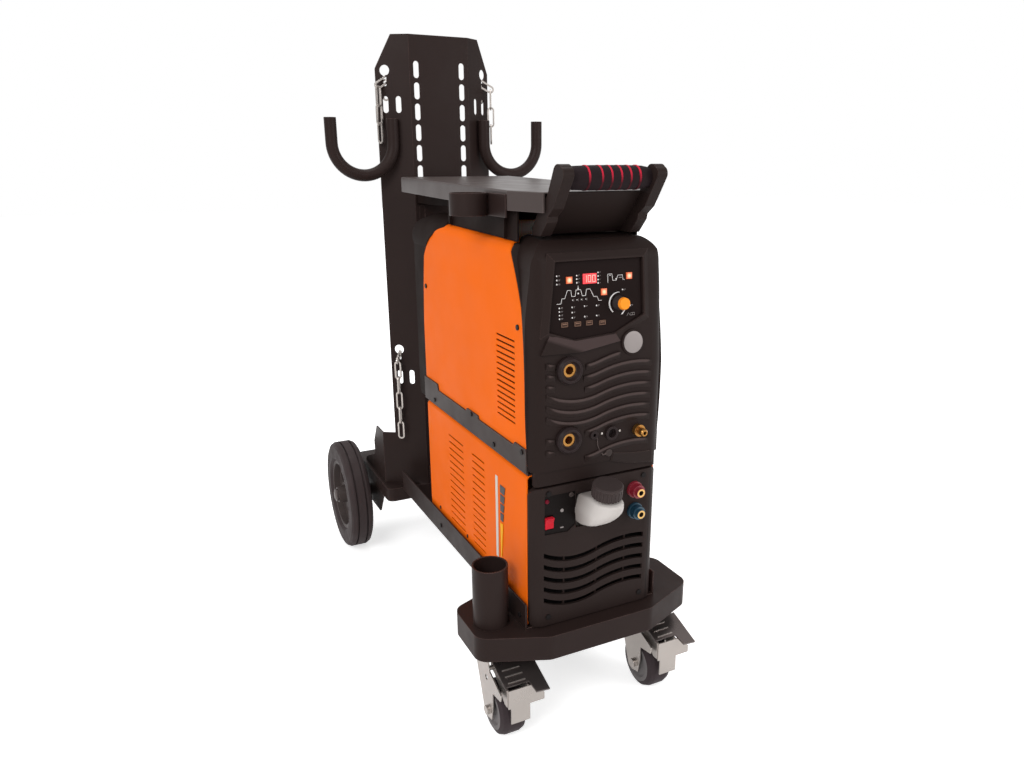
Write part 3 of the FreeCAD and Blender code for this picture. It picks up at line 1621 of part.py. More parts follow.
anchors = []
chain_nodes = []
for label, sign, neck_z, yaw, tail in (
    ("upper_left_chain", -1, 1105, HOOK_YAW, 3),
    ("upper_right_chain", 1, 1105, HOOK_YAW, 3),
    ("lower_left_chain", -1, 521, 0, 5),
):
    key_x = number(face_x) + KEYHOLE_ALONG * math.cos(bend)
    keyhole_point = Vector(sign * key_x, number(flange_y(key_x)), neck_z)
    plate_frame = Placement(keyhole_point, Rotation(Vector(0, 0, 1), sign * DIMENSIONS["column_bend"]))
    hook_frame = plate_frame * Placement(Vector(0, 1.5, 0), Rotation(Vector(0, 0, 1), sign * yaw))
    through = Placement(Vector(0, -7, 7.5), Rotation(Vector(1, 0, 0), 120))
    anchors.append(chain_link(f"{label}_hook", hook_frame * through, "YZ"))
    stop_frame = plate_frame * Placement(Vector(0, 5.2, -7.4), Rotation())
    anchors.append(chain_link(f"{label}_stop", stop_frame, "XZ"))
    links = []
    for index in range(tail):
        top_z = -0.9 - LINK_DROP * index
        centre = Placement(Vector(0, -18.9, top_z - number(link_length - wire) / 2), Rotation())
        links.append(chain_link(f"{label}_link", hook_frame * centre, "YZ" if index % 2 else "XZ"))
    chain_nodes.append(group(label, links))
nodes.append(group("chain_anchors", anchors))
nodes += chain_nodes

# --- Screws ---------------------------------------------------------------------------------

SCREW_SIDES = 8
SCREW_RADIUS = 4.5
SCREW_HEIGHT = 2.2


def screw(x, y, z, turn):
    head = doc.addObject("Part::Prism", "screw")
    head.Polygon = SCREW_SIDES
    head.Circumradius = SCREW_RADIUS
    head.Height = SCREW_HEIGHT
    place(head, x, y, z, turn)
    return head


COVER_SCREWS = ((-457, 717.5), (-38, 723.5))
STRAP_SCREWS = ((-266, 526), (-474, 523), (-70, 500), (-364, 500))
FLANGE_SCREWS = ((-88, 232), (-470, 232))
screws = []
for sign, turn in ((-1, TO_LEFT), (1, TO_RIGHT)):
    for surface, spots in (
        (number(case), COVER_SCREWS),
        (number(case) + 3, STRAP_SCREWS),
        (number(deck_side), FLANGE_SCREWS),
    ):
        screws += [screw(sign * surface, y, z, turn) for y, z in spots]
for x in (-89.4, 89.4):
    screws += [screw(x, number(cooler_face), z, TO_FRONT) for z in (455, 234)]
nodes.append(group("case_screws", screws))


# --- Checks and export ----------------------------------------------------------------------

doc.recompute()
for thing in doc.Objects:
    if "Invalid" in thing.State or "Error" in thing.State:
        raise RuntimeError(f"{thing.Name} failed: {thing.State}")
for node in nodes:
    if node.Shape.isNull() or not node.Shape.isValid():
        raise RuntimeError(f"{node.Label} has no valid shape")
os.makedirs("parts", exist_ok=True)
for node in nodes:
    node.Shape.exportStep(f"parts/{node.Label}.step")
print(len(nodes), "nodes written")
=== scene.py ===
import json
import math

import bpy
from mathutils import Matrix, Vector


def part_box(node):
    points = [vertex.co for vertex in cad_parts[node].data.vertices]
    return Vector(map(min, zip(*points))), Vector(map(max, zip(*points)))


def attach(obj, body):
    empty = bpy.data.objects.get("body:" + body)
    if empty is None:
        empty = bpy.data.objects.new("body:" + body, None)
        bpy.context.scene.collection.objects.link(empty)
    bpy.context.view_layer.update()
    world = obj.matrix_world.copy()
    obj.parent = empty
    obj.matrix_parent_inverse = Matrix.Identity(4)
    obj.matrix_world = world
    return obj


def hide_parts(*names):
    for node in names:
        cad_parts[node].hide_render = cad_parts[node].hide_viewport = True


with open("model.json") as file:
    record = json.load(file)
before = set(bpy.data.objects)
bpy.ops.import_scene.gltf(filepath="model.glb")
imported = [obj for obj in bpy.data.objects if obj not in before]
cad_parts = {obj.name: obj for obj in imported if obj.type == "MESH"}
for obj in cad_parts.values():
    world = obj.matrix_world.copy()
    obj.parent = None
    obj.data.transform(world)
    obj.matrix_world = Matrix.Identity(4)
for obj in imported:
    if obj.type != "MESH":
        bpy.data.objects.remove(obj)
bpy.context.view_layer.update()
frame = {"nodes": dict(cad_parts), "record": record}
NODES = frame["nodes"]
JOINTS = {joint["name"]: joint for joint in frame["record"]["behaviour"]["joints"]}
MM = 0.001
ROOT = "machine"


# ---------------------------------------------------------------- materials


MATT = 0.07  # the specular level of a surface that isn't given its own


def paint(red, green, blue):
    """A colour written as 0 to 255 values, as Blender's linear RGBA."""
    linear = []
    for value in (red, green, blue):
        share = value / 255
        linear.append(share / 12.92 if share <= 0.04045 else ((share + 0.055) / 1.055) ** 2.4)
    return (*linear, 1)


def scaled(colour, factor):
    """The same colour, lighter or darker."""
    return (*[min(1, part * factor) for part in colour[:3]], 1)


def add_node(tree, kind, settings=None, **inputs):
    """A node with its settings, and its inputs set to a value or fed by a socket.

    An input goes by its name, or by its number after an underscore.
    """
    node = tree.nodes.new(kind)
    for name, value in (settings or {}).items():
        setattr(node, name, value)
    for name, value in inputs.items():
        numbered = name[1:].isdigit()
        socket = node.inputs[int(name[1:]) if numbered else name.replace("_", " ")]
        if isinstance(value, bpy.types.NodeSocket):
            tree.links.new(value, socket)
        else:
            socket.default_value = value
    return node


class Surface:
    """A material being built: it adds nodes and joins them."""

    def __init__(self, name):
        self.material = bpy.data.materials.new(name)
        self.material.use_nodes = True
        self.tree = self.material.node_tree
        self.tree.nodes.clear()
        self.place = self.add("ShaderNodeTexCoord").outputs["Object"]

    def add(self, kind, settings=None, **inputs):
        """A node of this material."""
        return add_node(self.tree, kind, settings, **inputs)

    def combine(self, operation, first, second, clamp=False):
        """A Math node on two values."""
        settings = {"operation": operation, "use_clamp": clamp}
        return self.add("ShaderNodeMath", settings, _0=first, _1=second).outputs[0]

    def vector(self, operation, output, **inputs):
        """One output of a Vector Math node."""
        return self.add("ShaderNodeVectorMath", {"operation": operation}, **inputs).outputs[output]

    def noise(self, scale, detail=3):
        """Cloudy noise over the object, from 0 to 1."""
        node = self.add("ShaderNodeTexNoise", Vector=self.place, Scale=scale, Detail=detail)
        return node.outputs["Fac"]

    def spread(self, value, low, high, from_low=0.3, from_high=0.7):
        """A value stretched from one range to another."""
        return self.add(
            "ShaderNodeMapRange",
            Value=value,
            From_Min=from_low,
            From_Max=from_high,
            To_Min=low,
            To_Max=high,
        ).outputs[0]

    def mix(self, share, first, second):
        """One colour turning into another."""
        colour = {"data_type": "RGBA"}
        return self.add("ShaderNodeMix", colour, Factor=share, _6=first, _7=second).outputs[2]

    def axis(self, name):
        """One coordinate of the point, in metres in the frame."""
        return self.add("ShaderNodeSeparateXYZ", Vector=self.place).outputs[name]

    def above(self, value, limit, soft=0.2 * MM):
        """0 below a limit and 1 above it."""
        return self.spread(value, 0, 1, limit - soft, limit + soft)

    def below(self, value, limit, soft=0.2 * MM):
        """1 below a limit and 0 above it."""
        return self.combine("SUBTRACT", 1.0, self.above(value, limit, soft))

    def between(self, value, low, high):
        """1 between two limits and 0 outside them."""
        return self.combine("SUBTRACT", self.above(value, low), self.above(value, high))

    def distance(self, centre, squash=(1, 1, 1)):
        """How far the point is from a centre, with each axis scaled."""
        moved = self.vector("SUBTRACT", "Vector", _0=self.place, _1=Vector(centre))
        flat = self.vector("MULTIPLY", "Vector", _0=moved, _1=Vector(squash))
        return self.vector("LENGTH", "Value", _0=flat)

    def along(self, direction):
        """How far along a direction the point lies from the frame's origin."""
        return self.vector("DOT_PRODUCT", "Value", _0=self.place, _1=direction)

    def soft_edges(self, radius):
        """A normal that rounds sharp edges, and a mask that is 1 along them."""
        rounded = self.add("ShaderNodeBevel", {"samples": 4}, Radius=radius).outputs[0]
        true_normal = self.add("ShaderNodeNewGeometry").outputs["Normal"]
        facing = self.vector("DOT_PRODUCT", "Value", _0=rounded, _1=true_normal)
        return rounded, self.spread(facing, 1, 0, 0.86, 0.99)

    def bumped(self, height, strength, depth, normal):
        """A normal with bumps, where a height of 1 stands as far out as the depth."""
        return self.add(
            "ShaderNodeBump", Strength=strength, Distance=depth, Height=height, Normal=normal
        ).outputs[0]

    def finish(self, colour, roughness, normal, glow=None, **constants):
        """The shader and the output. glow is an emission colour and its strength."""
        inputs = {"Base_Color": colour, "Roughness": roughness, "Normal": normal, **constants}
        if glow:
            inputs |= {"Emission_Color": glow[0], "Emission_Strength": glow[1]}
        shader = self.add("ShaderNodeBsdfPrincipled", **inputs)
        self.add("ShaderNodeOutputMaterial", Surface=shader.outputs[0])
        return self.material


def coloured(surface, colour, shade, scuff_and_highlight, edges, scuff_and_highlight_lift=2.2):
    """A colour that varies a little over the surface and is lighter along its edges, partly as scuffing
    and partly as a painted highlight.
    """
    clouds = surface.spread(surface.noise(7, 4), 0, 1)
    base = surface.mix(clouds, scaled(colour, 1 - shade), scaled(colour, 1 + shade))
    patches = surface.spread(surface.noise(55), scuff_and_highlight / 3, scuff_and_highlight)
    # the lighter edge colour is partly scuffing and partly a painted highlight
    scuffed_and_highlit = surface.combine("MULTIPLY", edges, patches, True)
    return surface.mix(scuffed_and_highlit, base, scaled(colour, scuff_and_highlight_lift))


def plain(
    name,
    colour,
    roughness=0.5,
    shade=0.06,
    scuff_and_highlight=0.25,
    grain=900,
    bump=0.15,
    edge=0.8,
    scuff_and_highlight_lift=2.2,
    **constants,
):
    """A painted, moulded or metal surface, with fine grain and soft edges painted lighter, partly as
    scuffing and partly as a painted highlight.

    shade is how far the colour varies, edge the edges' radius in mm, wear how much of their lighter
    colour shows and rubbed how many times lighter that colour is: a painted highlight, with some
    scuffing. grain and bump are the fine noise's scale and strength, and the constants are sockets
    of the shader.
    """
    constants.setdefault("Specular_IOR_Level", MATT)
    surface = Surface(name)
    rounded, edges = surface.soft_edges(edge * MM)
    skin = surface.bumped(surface.noise(grain, 2), bump, 0.1 * MM, rounded)
    gloss = surface.spread(surface.noise(23, 5), roughness - 0.05, roughness + 0.06)
    shown = coloured(surface, colour, shade, scuff_and_highlight, edges, scuff_and_highlight_lift)
    return surface.finish(shown, gloss, skin, **constants)


KNOB = Vector(JOINTS["encoder_turn"]["pos_m"])
FACE_OUT = Vector(JOINTS["encoder_turn"]["axis"])
FACE_UP = FACE_OUT.cross(Vector((1, 0, 0)))
FACE_LEVEL = KNOB.dot(FACE_OUT)  # how far out along its normal the leaning face lies
COUPLINGS = ((72, 433), (74, 394))  # x and z of the two hose couplings, in mm

BLACK = paint(40, 30, 28)
ORANGE = paint(234, 103, 16)
ZINC = paint(160, 153, 148)

MATERIALS = {  # by the record's slots, apart from those whose every node gets its own further on
    # the edges of the black and grey coats are painted several times lighter: a painted highlight, with
    # some scuffing
    "black_paint": plain(
        "black_powder_coat", BLACK, 0.42, scuff_and_highlight=0.9, grain=700, bump=0.22, edge=1.6, scuff_and_highlight_lift=7
    ),
    "grey_paint": plain(
        "grey_powder_coat", paint(56, 48, 46), 0.45, scuff_and_highlight=0.9, grain=700, bump=0.2, edge=1.6, scuff_and_highlight_lift=5
    ),
    "orange_paint": plain(
        "orange_powder_coat", ORANGE, 0.4, 0.03, 0.12, grain=800, bump=0.12, Specular_IOR_Level=0.02
    ),
    "black_plastic": plain(
        "black_moulding", paint(36, 27, 25), 0.5, scuff_and_highlight=0.7, grain=1300, bump=0.3, edge=1.3, scuff_and_highlight_lift=5
    ),
    "grey_plastic": plain("brown_key", paint(58, 42, 36), 0.5),
    "white_plastic": plain(
        "milky_tank",
        paint(206, 200, 195),
        0.42,
        0.03,
        0.05,
        Subsurface_Weight=0.25,
        Subsurface_Scale=0.01,
    ),
    "red_plastic": plain("red_rocker", paint(190, 30, 45), 0.3),
    "clear_plastic": plain("gauge_strip", paint(206, 200, 190), 0.2),
    "fascia_film": plain(
        "fascia_film", paint(27, 19, 18), 0.5, grain=2500, bump=0.08, Specular_IOR_Level=0.03
    ),
    "grip_rubber": plain("grip_rubber", paint(30, 22, 24), 0.7, grain=1500, bump=0.3),
    "black_steel": plain("black_screws", paint(26, 23, 23), 0.45, grain=900),
    "zinc_steel": plain("zinc_plate", ZINC, 0.3, 0.2, 0.9, grain=260, bump=0.12, Metallic=0.85),
    "core_steel": plain("varnished_core", paint(80, 74, 70), 0.5, Metallic=0.4),
    "aluminium": plain("aluminium", paint(190, 192, 195), 0.35, Metallic=0.9),
    "brass": plain("machined_brass", paint(146, 104, 54), 0.3, 0.08, 0.3, grain=1800, Metallic=0.85),
}


def dress(node, material):
    """Give a CAD node one material."""
    mesh = NODES[node].data
    mesh.materials.clear()
    mesh.materials.append(material)


for part in frame["record"]["subparts"]:
    if part["material_slot"] in MATERIALS:
        dress(part["node"], MATERIALS[part["material_slot"]])

WHITE_PRINT = plain("white_print", paint(228, 224, 222), 0.5, scuff_and_highlight=0, grain=3000)
GREY_PRINT = plain("grey_print", paint(150, 142, 140), 0.5, scuff_and_highlight=0, grain=3000)
KEY_PRINT = plain("key_print", paint(140, 108, 90), 0.5, scuff_and_highlight=0, grain=3000)
BADGE_SILVER = plain(
    "badge_silver", paint(132, 125, 123), 0.42, 0.05, 0.2, grain=2600, bump=0.25, Metallic=0.3
)
LAMP_RED = plain("lamp_red", paint(96, 16, 32), 0.3)
# a dark sheet of painted shade, put behind openings where only shade shows
SHADE_SHEET = plain("painted_shade_sheet", paint(18, 16, 16), 0.95, grain=1800, bump=0.6)
AMBER = plain("amber_scale", paint(246, 178, 30), 0.45, scuff_and_highlight=0)
SLATE = plain("slate_scale", paint(74, 74, 78), 0.45, scuff_and_highlight=0)


def glowing(name, colour, strength, rim=None, centre=None, reach=4.5 * MM):
    """A lit surface, brighter towards its centre where it has one."""
    surface = Surface(name)
    rounded, _ = surface.soft_edges(0.5 * MM)
    clouds = surface.spread(surface.noise(40), 0, 1)
    shown = surface.mix(clouds, scaled(colour, 0.96), scaled(colour, 1.04))
    if centre is not None:
        near = surface.spread(surface.distance(centre), 1, 0, 0.6 * MM, reach)
        shown = surface.mix(near, rim, shown)
    gloss = surface.spread(surface.noise(25), 0.25, 0.35)
    return surface.finish(shown, gloss, rounded, glow=(shown, strength))


DIGIT_GLOW = glowing("digit_glow", paint(255, 150, 140), 0.8)


def two_coloured(name, split, first, second, roughness=0.5, **constants):
    """A surface of two colours. split takes the surface and gives 0 for the first, 1 for the second."""
    constants.setdefault("Specular_IOR_Level", MATT)
    surface = Surface(name)
    rounded, edges = surface.soft_edges(0.6 * MM)
    skin = surface.bumped(surface.noise(900, 2), 0.15, 0.1 * MM, rounded)
    colours = [coloured(surface, colour, 0.06, 0.2, edges) for colour in (first, second)]
    shown = surface.mix(split(surface), *colours)
    gloss = surface.spread(surface.noise(23, 5), roughness - 0.05, roughness + 0.06)
    return surface.finish(shown, gloss, skin, **constants)


def middle_of(node):
    """The middle of a CAD node's box."""
    low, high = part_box(node)
    return (low + high) / 2


def dress_lit_parts():
    """The window and the buttons glow."""
    dress("display_window", glowing("window_glow", paint(214, 30, 40), 0.5))
    for button in ("trigger_mode", "process", "parameter"):
        node = f"{button}_button"
        glow = glowing(f"{node}_glow", paint(255, 214, 170), 0.4, paint(206, 92, 48), middle_of(node))
        dress(node, glow)


def dress_power_front():
    """The front's lip, which stands out of the leaning face, is painted lighter than the rest: a painted
    highlight where its slope faces the light.
    """
    lip = 2.9 * MM
    foot, slope = 667.9 * MM, 0.385  # the lip ends at a sloping line: z = foot - slope * x

    def painted_lip_highlight(surface):
        standing = surface.above(surface.along(FACE_OUT), FACE_LEVEL + lip)
        tilted = surface.combine("MULTIPLY", surface.axis("X"), slope)
        inner = surface.above(surface.combine("ADD", surface.axis("Z"), tilted), foot, 3 * MM)
        return surface.combine("MULTIPLY", standing, inner)

    # the lip's lighter colour is a painted highlight
    made = two_coloured("power_front_moulding", painted_lip_highlight, paint(33, 24, 22), paint(62, 50, 49), 0.5)
    dress("power_front_bezel", made)


def dress_special_parts():
    """Nodes of one colour that differ from the others in their slot."""
    # several of these parts have edges painted lighter: a painted highlight, with some scuffing
    steel = plain("dull_axle_steel", paint(84, 76, 74), 0.4, scuff_and_highlight=0.6, scuff_and_highlight_lift=3, Metallic=0.4)
    dress("rear_axle", steel)
    for side in ("left", "right"):
        rim = plain(f"{side}_rim_moulding", paint(64, 56, 54), 0.42, 0.1, 0.9, edge=1.6, scuff_and_highlight_lift=4)
        dress(f"{side}_rear_rim", rim)
    glossy = plain(
        "tray_powder_coat",
        paint(62, 53, 51),
        0.36,
        scuff_and_highlight=0.9,
        grain=500,
        edge=1.6,
        scuff_and_highlight_lift=4,
        Specular_IOR_Level=0.22,
    )
    dress("tool_tray", glossy)
    dress("filler_cap", plain("cap_moulding", paint(54, 46, 45), 0.5, scuff_and_highlight=0.8, edge=1.2, scuff_and_highlight_lift=4))
    matt = plain("rear_moulding", paint(28, 20, 18), 0.6, grain=1300, bump=0.3, Specular_IOR_Level=0.03)
    dress("power_rear_bezel", matt)
    dress("tray_support", matt)
    shiny = plain("socket_moulding", paint(38, 30, 30), 0.4, scuff_and_highlight=1, edge=1.2, scuff_and_highlight_lift=4)
    dress("socket_bodies", shiny)


def dress_cooler_front():
    """The cooler's front, with painted shade that darkens the floor of the switch recess."""
    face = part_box("cooler_front_bezel")[0].y
    recess_floor = (face + 1.2 * MM, face + 1.8 * MM)
    recess_left = -98 * MM

    def recess_shade(surface):
        depth = surface.between(surface.axis("Y"), *recess_floor)
        across = surface.above(surface.axis("X"), recess_left)
        return surface.combine("MULTIPLY", depth, across)

    # the recess floor's darker colour is painted shade
    made = two_coloured("cooler_front_moulding", recess_shade, paint(38, 29, 27), paint(16, 11, 10), 0.5)
    dress("cooler_front_bezel", made)


def dress_knob():
    """The knob has a black skirt and an orange cap."""
    skirt = 12.5 * MM  # how far the skirt stands out of the face

    def beyond(surface):
        return surface.above(surface.along(FACE_OUT), FACE_LEVEL + skirt)

    made = two_coloured("knob_skirt_and_cap", beyond, paint(52, 46, 46), paint(242, 142, 38), 0.4)
    dress("encoder_knob", made)


def dress_caster_wheels():
    """Black tread on a grey core."""
    core_radius = 37 * MM
    for side in ("left", "right"):
        axle = Vector(JOINTS[f"{side}_caster_roll"]["pos_m"])

        def tread(surface):
            return surface.above(surface.distance(axle, (0, 1, 1)), core_radius)

        made = two_coloured(f"{side}_caster_core", tread, paint(112, 108, 108), paint(58, 50, 52), 0.6)
        dress(f"{side}_caster_wheel", made)


def dress_couplings():
    """The upper coupling is red and the lower one blue, each with a brass ring round a bore painted dark
    as shade.
    """
    ring_radius, ring_depth, bore_radius = 7.2 * MM, 1.5 * MM, 4.4 * MM
    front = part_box("hose_couplings")[0].y
    surface = Surface("coupling_collars")
    rounded, _ = surface.soft_edges(0.5 * MM)
    upper = surface.above(surface.axis("Z"), middle_of("hose_couplings").z)
    clouds = surface.spread(surface.noise(60), 0, 1)
    light = surface.mix(upper, paint(26, 66, 84), paint(128, 28, 42))
    dark = surface.mix(upper, paint(22, 54, 72), paint(108, 22, 36))
    collar = surface.mix(clouds, light, dark)
    reach = [surface.distance((x * MM, 0, z * MM), (1, 0, 1)) for x, z in COUPLINGS]
    radius = surface.combine("MINIMUM", *reach)
    nose = surface.below(surface.axis("Y"), front + ring_depth)
    ring = surface.combine("MULTIPLY", nose, surface.below(radius, ring_radius))
    shown = surface.mix(ring, collar, paint(226, 178, 96))
    # painted shade: the bore is coloured dark where the hole would be shaded
    shown = surface.mix(surface.below(radius, bore_radius), shown, paint(48, 36, 24))
    gloss = surface.spread(surface.noise(40), 0.3, 0.42)
    dress("hose_couplings", surface.finish(shown, gloss, rounded))


def dress_pedals():
    """The brake pedals' treads are dark between bright ribs, and the rest of them is zinc."""
    slope = math.radians(20)
    out = Vector((0, -math.sin(slope), math.cos(slope)))
    tread_low, tread_high = 8.2 * MM, 12 * MM  # square to the pedal, above its pivot
    for side in ("left", "right"):
        pivot = Vector(JOINTS[f"{side}_brake_press"]["pos_m"]).dot(out)

        def tread(surface):
            return surface.between(surface.along(out), pivot + tread_low, pivot + tread_high)

        made = two_coloured(f"{side}_pedal_steel", tread, ZINC, paint(98, 90, 88), 0.3, Metallic=0.8)
        dress(f"{side}_brake_pedal", made)


def dress_tyres():
    """Rubber with fine rings of moulding round the axle."""
    turns = 2600.0  # radians in a metre of radius, which makes a ring every 2.4 mm
    for side in ("left", "right"):
        axle = Vector(JOINTS[f"{side}_rear_wheel_spin"]["pos_m"])
        surface = Surface(f"{side}_tyre")
        rounded, edges = surface.soft_edges(1.2 * MM)
        radius = surface.distance(axle, (0, 1, 1))
        rings = surface.combine("SINE", surface.combine("MULTIPLY", radius, turns), 0.0)
        skin = surface.bumped(rings, 0.25, 0.3 * MM, rounded)
        shown = coloured(surface, paint(52, 43, 43), 0.1, 0.3, edges)
        gloss = surface.spread(surface.noise(30), 0.62, 0.8)
        dress(f"{side}_rear_tyre", surface.finish(shown, gloss, skin, Specular_IOR_Level=0.2))


dress_lit_parts()
dress_power_front()
dress_special_parts()
dress_cooler_front()
dress_knob()
dress_caster_wheels()
dress_couplings()
dress_pedals()
dress_tyres()


# ---------------------------------------------------------------- building small pieces


class Solids:
    """Several small solids in one mesh.

    Outlines are in millimetres in the matrix's own axes: x, y, and heights along z.
    """

    def __init__(self, matrix):
        self.matrix = matrix
        self.vertices = []
        self.faces = []

    def loft(self, outlines, heights):
        """A closed solid through flat outlines of equally many corners, one at each height."""
        self.skin([[(x, y, height) for x, y in outline] for outline, height in zip(outlines, heights)])

    def skin(self, sections):
        """A closed solid through sections of equally many points."""
        start = len(self.vertices)
        count = len(sections[0])
        for section in sections:
            self.vertices += [self.matrix @ (Vector(point) * MM) for point in section]
        last = start + count * (len(sections) - 1)
        self.faces.append(tuple(reversed(range(start, start + count))))
        self.faces.append(tuple(range(last, last + count)))
        for low in range(start, last, count):
            high = low + count
            for index in range(count):
                after = (index + 1) % count
                self.faces.append((low + index, low + after, high + after, high + index))

    def prism(self, outline, low, high):
        """An outline with straight sides."""
        self.loft([outline, outline], [low, high])

    def block(self, x0, y0, x1, y1, low, high):
        """A rectangular block."""
        self.prism([(x0, y0), (x1, y0), (x1, y1), (x0, y1)], low, high)

    def disc(self, x, y, radius, low, high, sides=24):
        """A round disc."""
        self.prism(circle(x, y, radius, sides), low, high)

    def stud(self, x, y, radii, heights, sides=24):
        """A round stud, with one radius at each height."""
        self.loft([circle(x, y, radius, sides) for radius in radii], heights)

    def stroke(self, points, width, low, high):
        """A line of even width along straight runs."""
        for (x0, y0), (x1, y1) in zip(points, points[1:]):
            length = math.hypot(x1 - x0, y1 - y0)
            dx, dy = (x1 - x0) / length * width / 2, (y1 - y0) / length * width / 2
            outline = [
                (x0 - dx + dy, y0 - dy - dx),
                (x1 + dx + dy, y1 + dy - dx),
                (x1 + dx - dy, y1 + dy + dx),
                (x0 - dx - dy, y0 - dy + dx),
            ]
            self.prism(outline, low, high)

    def piece(self, name, material, body=ROOT, bevel=0, smooth=0):
        """The solids as one object that rides on a body."""
        mesh = bpy.data.meshes.new(name)
        mesh.from_pydata(self.vertices, [], self.faces)
        mesh.materials.append(material)
        made = bpy.data.objects.new(name, mesh)
        bpy.context.collection.objects.link(made)
        if bevel:
            rounding = made.modifiers.new("rounding", "BEVEL")
            rounding.width = bevel * MM
            rounding.segments = 2
        if smooth:
            mesh.shade_smooth()
            rounding = made.modifiers.new("smooth", "SUBSURF")
            rounding.levels = smooth
            rounding.render_levels = smooth
        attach(made, body)
        return made


def circle(x, y, radius, sides=24, first=0, last=360):
    """Points round a circle, or along an arc where the last angle isn't a full turn on."""
    steps = sides if last - first >= 360 else sides + 1
    turn = math.radians(last - first) / sides
    start = math.radians(first)
    return [
        (x + radius * math.cos(start + step * turn), y + radius * math.sin(start + step * turn))
        for step in range(steps)
    ]


def axes(origin, across, up):
    """A frame at a point, with x across, y up and z out of the surface."""
    across = Vector(across).normalized()
    out = across.cross(Vector(up)).normalized()
    up = out.cross(across)
    turned = Matrix((across, up, out)).transposed().to_4x4()
    return Matrix.Translation(Vector(origin)) @ turned


# ---------------------------------------------------------------- control panel

PANEL = axes(KNOB - Vector((KNOB.x, 0, 0)), (1, 0, 0), FACE_UP)
KNOB_X = KNOB.x / MM
FILM = -1.0  # the film lies this far inside the housing's face
PRINT = FILM + 0.08


def panel_print():
    """The lines, dots and marks printed on the film."""
    marks = Solids(PANEL)
    dim = Solids(PANEL)

    # Columns of lamps beside the buttons and the display, each with a dash for its label
    columns = (  # x, heights, and how far the label reaches
        (-72, (47.2, 41.1, 35.1), 5.5),
        (-38.2, (46.2, 41, 35.6), 4.5),
        (-1.2, (48.6, 43.3, 38, 32.8), 4),
        (-69, (-0.3, -5.6, -11, -16.4), 6),
        (-47.2, (-0.4, -8.3, -16.2), 5),
        (-25.6, (-0.4, -16.2), 5),
        (-4.6, (-1, -16.4), 5),
        (42.3, (19.9,), 5),
        (56, (-5.6,), 5),
    )
    lamp_radius = 1.15
    for x, heights, label in columns:
        for y in heights:
            marks.disc(x, y, lamp_radius, FILM, PRINT, 16)
            dim.stroke([(x + 3, y + 0.6), (x + label, y + 0.6)], 0.5, FILM, PRINT)
            dim.stroke([(x + 3, y - 0.7), (x + label - 0.8, y - 0.7)], 0.4, FILM, PRINT)
    for x in (-46.1, -38.5, -30.8, -23.2):
        marks.disc(x, 10.2, 0.8, FILM, PRINT, 12)
        dim.stroke([(x + 2, 11.6), (x + 2, 8.4)], 0.5, FILM, PRINT)

    # The weld's current over time: start, slope up, pulses, slope down, finish
    low, pulse_low, high = 6, 15.6, 25
    ramp = [(-73, low), (-66, low), (-64.3, 13.5), (-59.3, 13.5), (-54.8, high), (-48.8, high)]
    pulses = []
    for x in (-47.4, -29.4):
        pulses += [(x, pulse_low), (x + 5.8, pulse_low), (x + 7.6, high), (x + 15.6, high)]
    fall = [(-9.2, 13), (-3.4, 13), (-0.6, low + 0.4), (4.5, low + 0.4)]
    marks.stroke(ramp + pulses[:-1] + [(-15.6, high)] + fall, 0.75, FILM, PRINT)
    marks.stroke([(-36.2, 31), (-36.2, 25)], 0.6, FILM, PRINT)
    marks.disc(-36.2, 27, 1.3, FILM, PRINT, 16)
    marks.disc(-36.2, 19.5, 1.3, FILM, PRINT, 16)

    # The output's square wave
    square = [(16, 32), (16, 45), (23.4, 45), (24.8, 35), (31, 35)]
    square += [(34, 42.5), (42, 42.5), (43.4, 35), (46, 35)]
    marks.stroke(square, 0.7, FILM, PRINT)
    marks.disc(20, 43, 0.9, FILM, PRINT, 12)
    marks.disc(30.5, 37.2, 0.9, FILM, PRINT, 12)
    dim.stroke([(36, 38.8), (41, 38.8)], 0.9, FILM, PRINT)

    # A scale that grows wider round the knob, and its pointer
    radius, start, sweep, steps = 16.6, 82, 150, 28
    least, growth, overlap, wave_share = 0.6, 1.9, 0.15, 0.75
    for step in range(steps):
        first = math.radians(start + step * sweep / steps)
        last = math.radians(start + (step + 1 + overlap) * sweep / steps)
        width = least + growth * math.sin(math.pi * wave_share * (step + 1) / steps)
        inner, outer = radius - width / 2, radius + width / 2
        corners = [(outer, first), (outer, last), (inner, last), (inner, first)]
        marks.prism([(KNOB_X + r * math.cos(a), r * math.sin(a)) for r, a in corners], FILM, PRINT)
    marks.prism([(39, -18.4), (42.5, -18), (48, -10.5), (43.5, -13)], FILM, PRINT)

    # Small pictures of a hose and of a reel at the lower right
    dim.stroke([(53, -4.6), (60, -4.6)], 0.6, FILM, PRINT)
    dim.stroke([(50, -21), (53, -16.6), (56, -21)], 0.6, FILM, PRINT)
    dim.stroke([(57, -20.8), (57, -17), (64, -17), (64, -20.8), (57, -20.8)], 0.7, FILM, PRINT)
    dim.stroke([(60.5, -20.6), (60.5, -17)], 0.5, FILM, PRINT)

    marks.piece("panel_marks", WHITE_PRINT)
    dim.piece("panel_labels", GREY_PRINT)


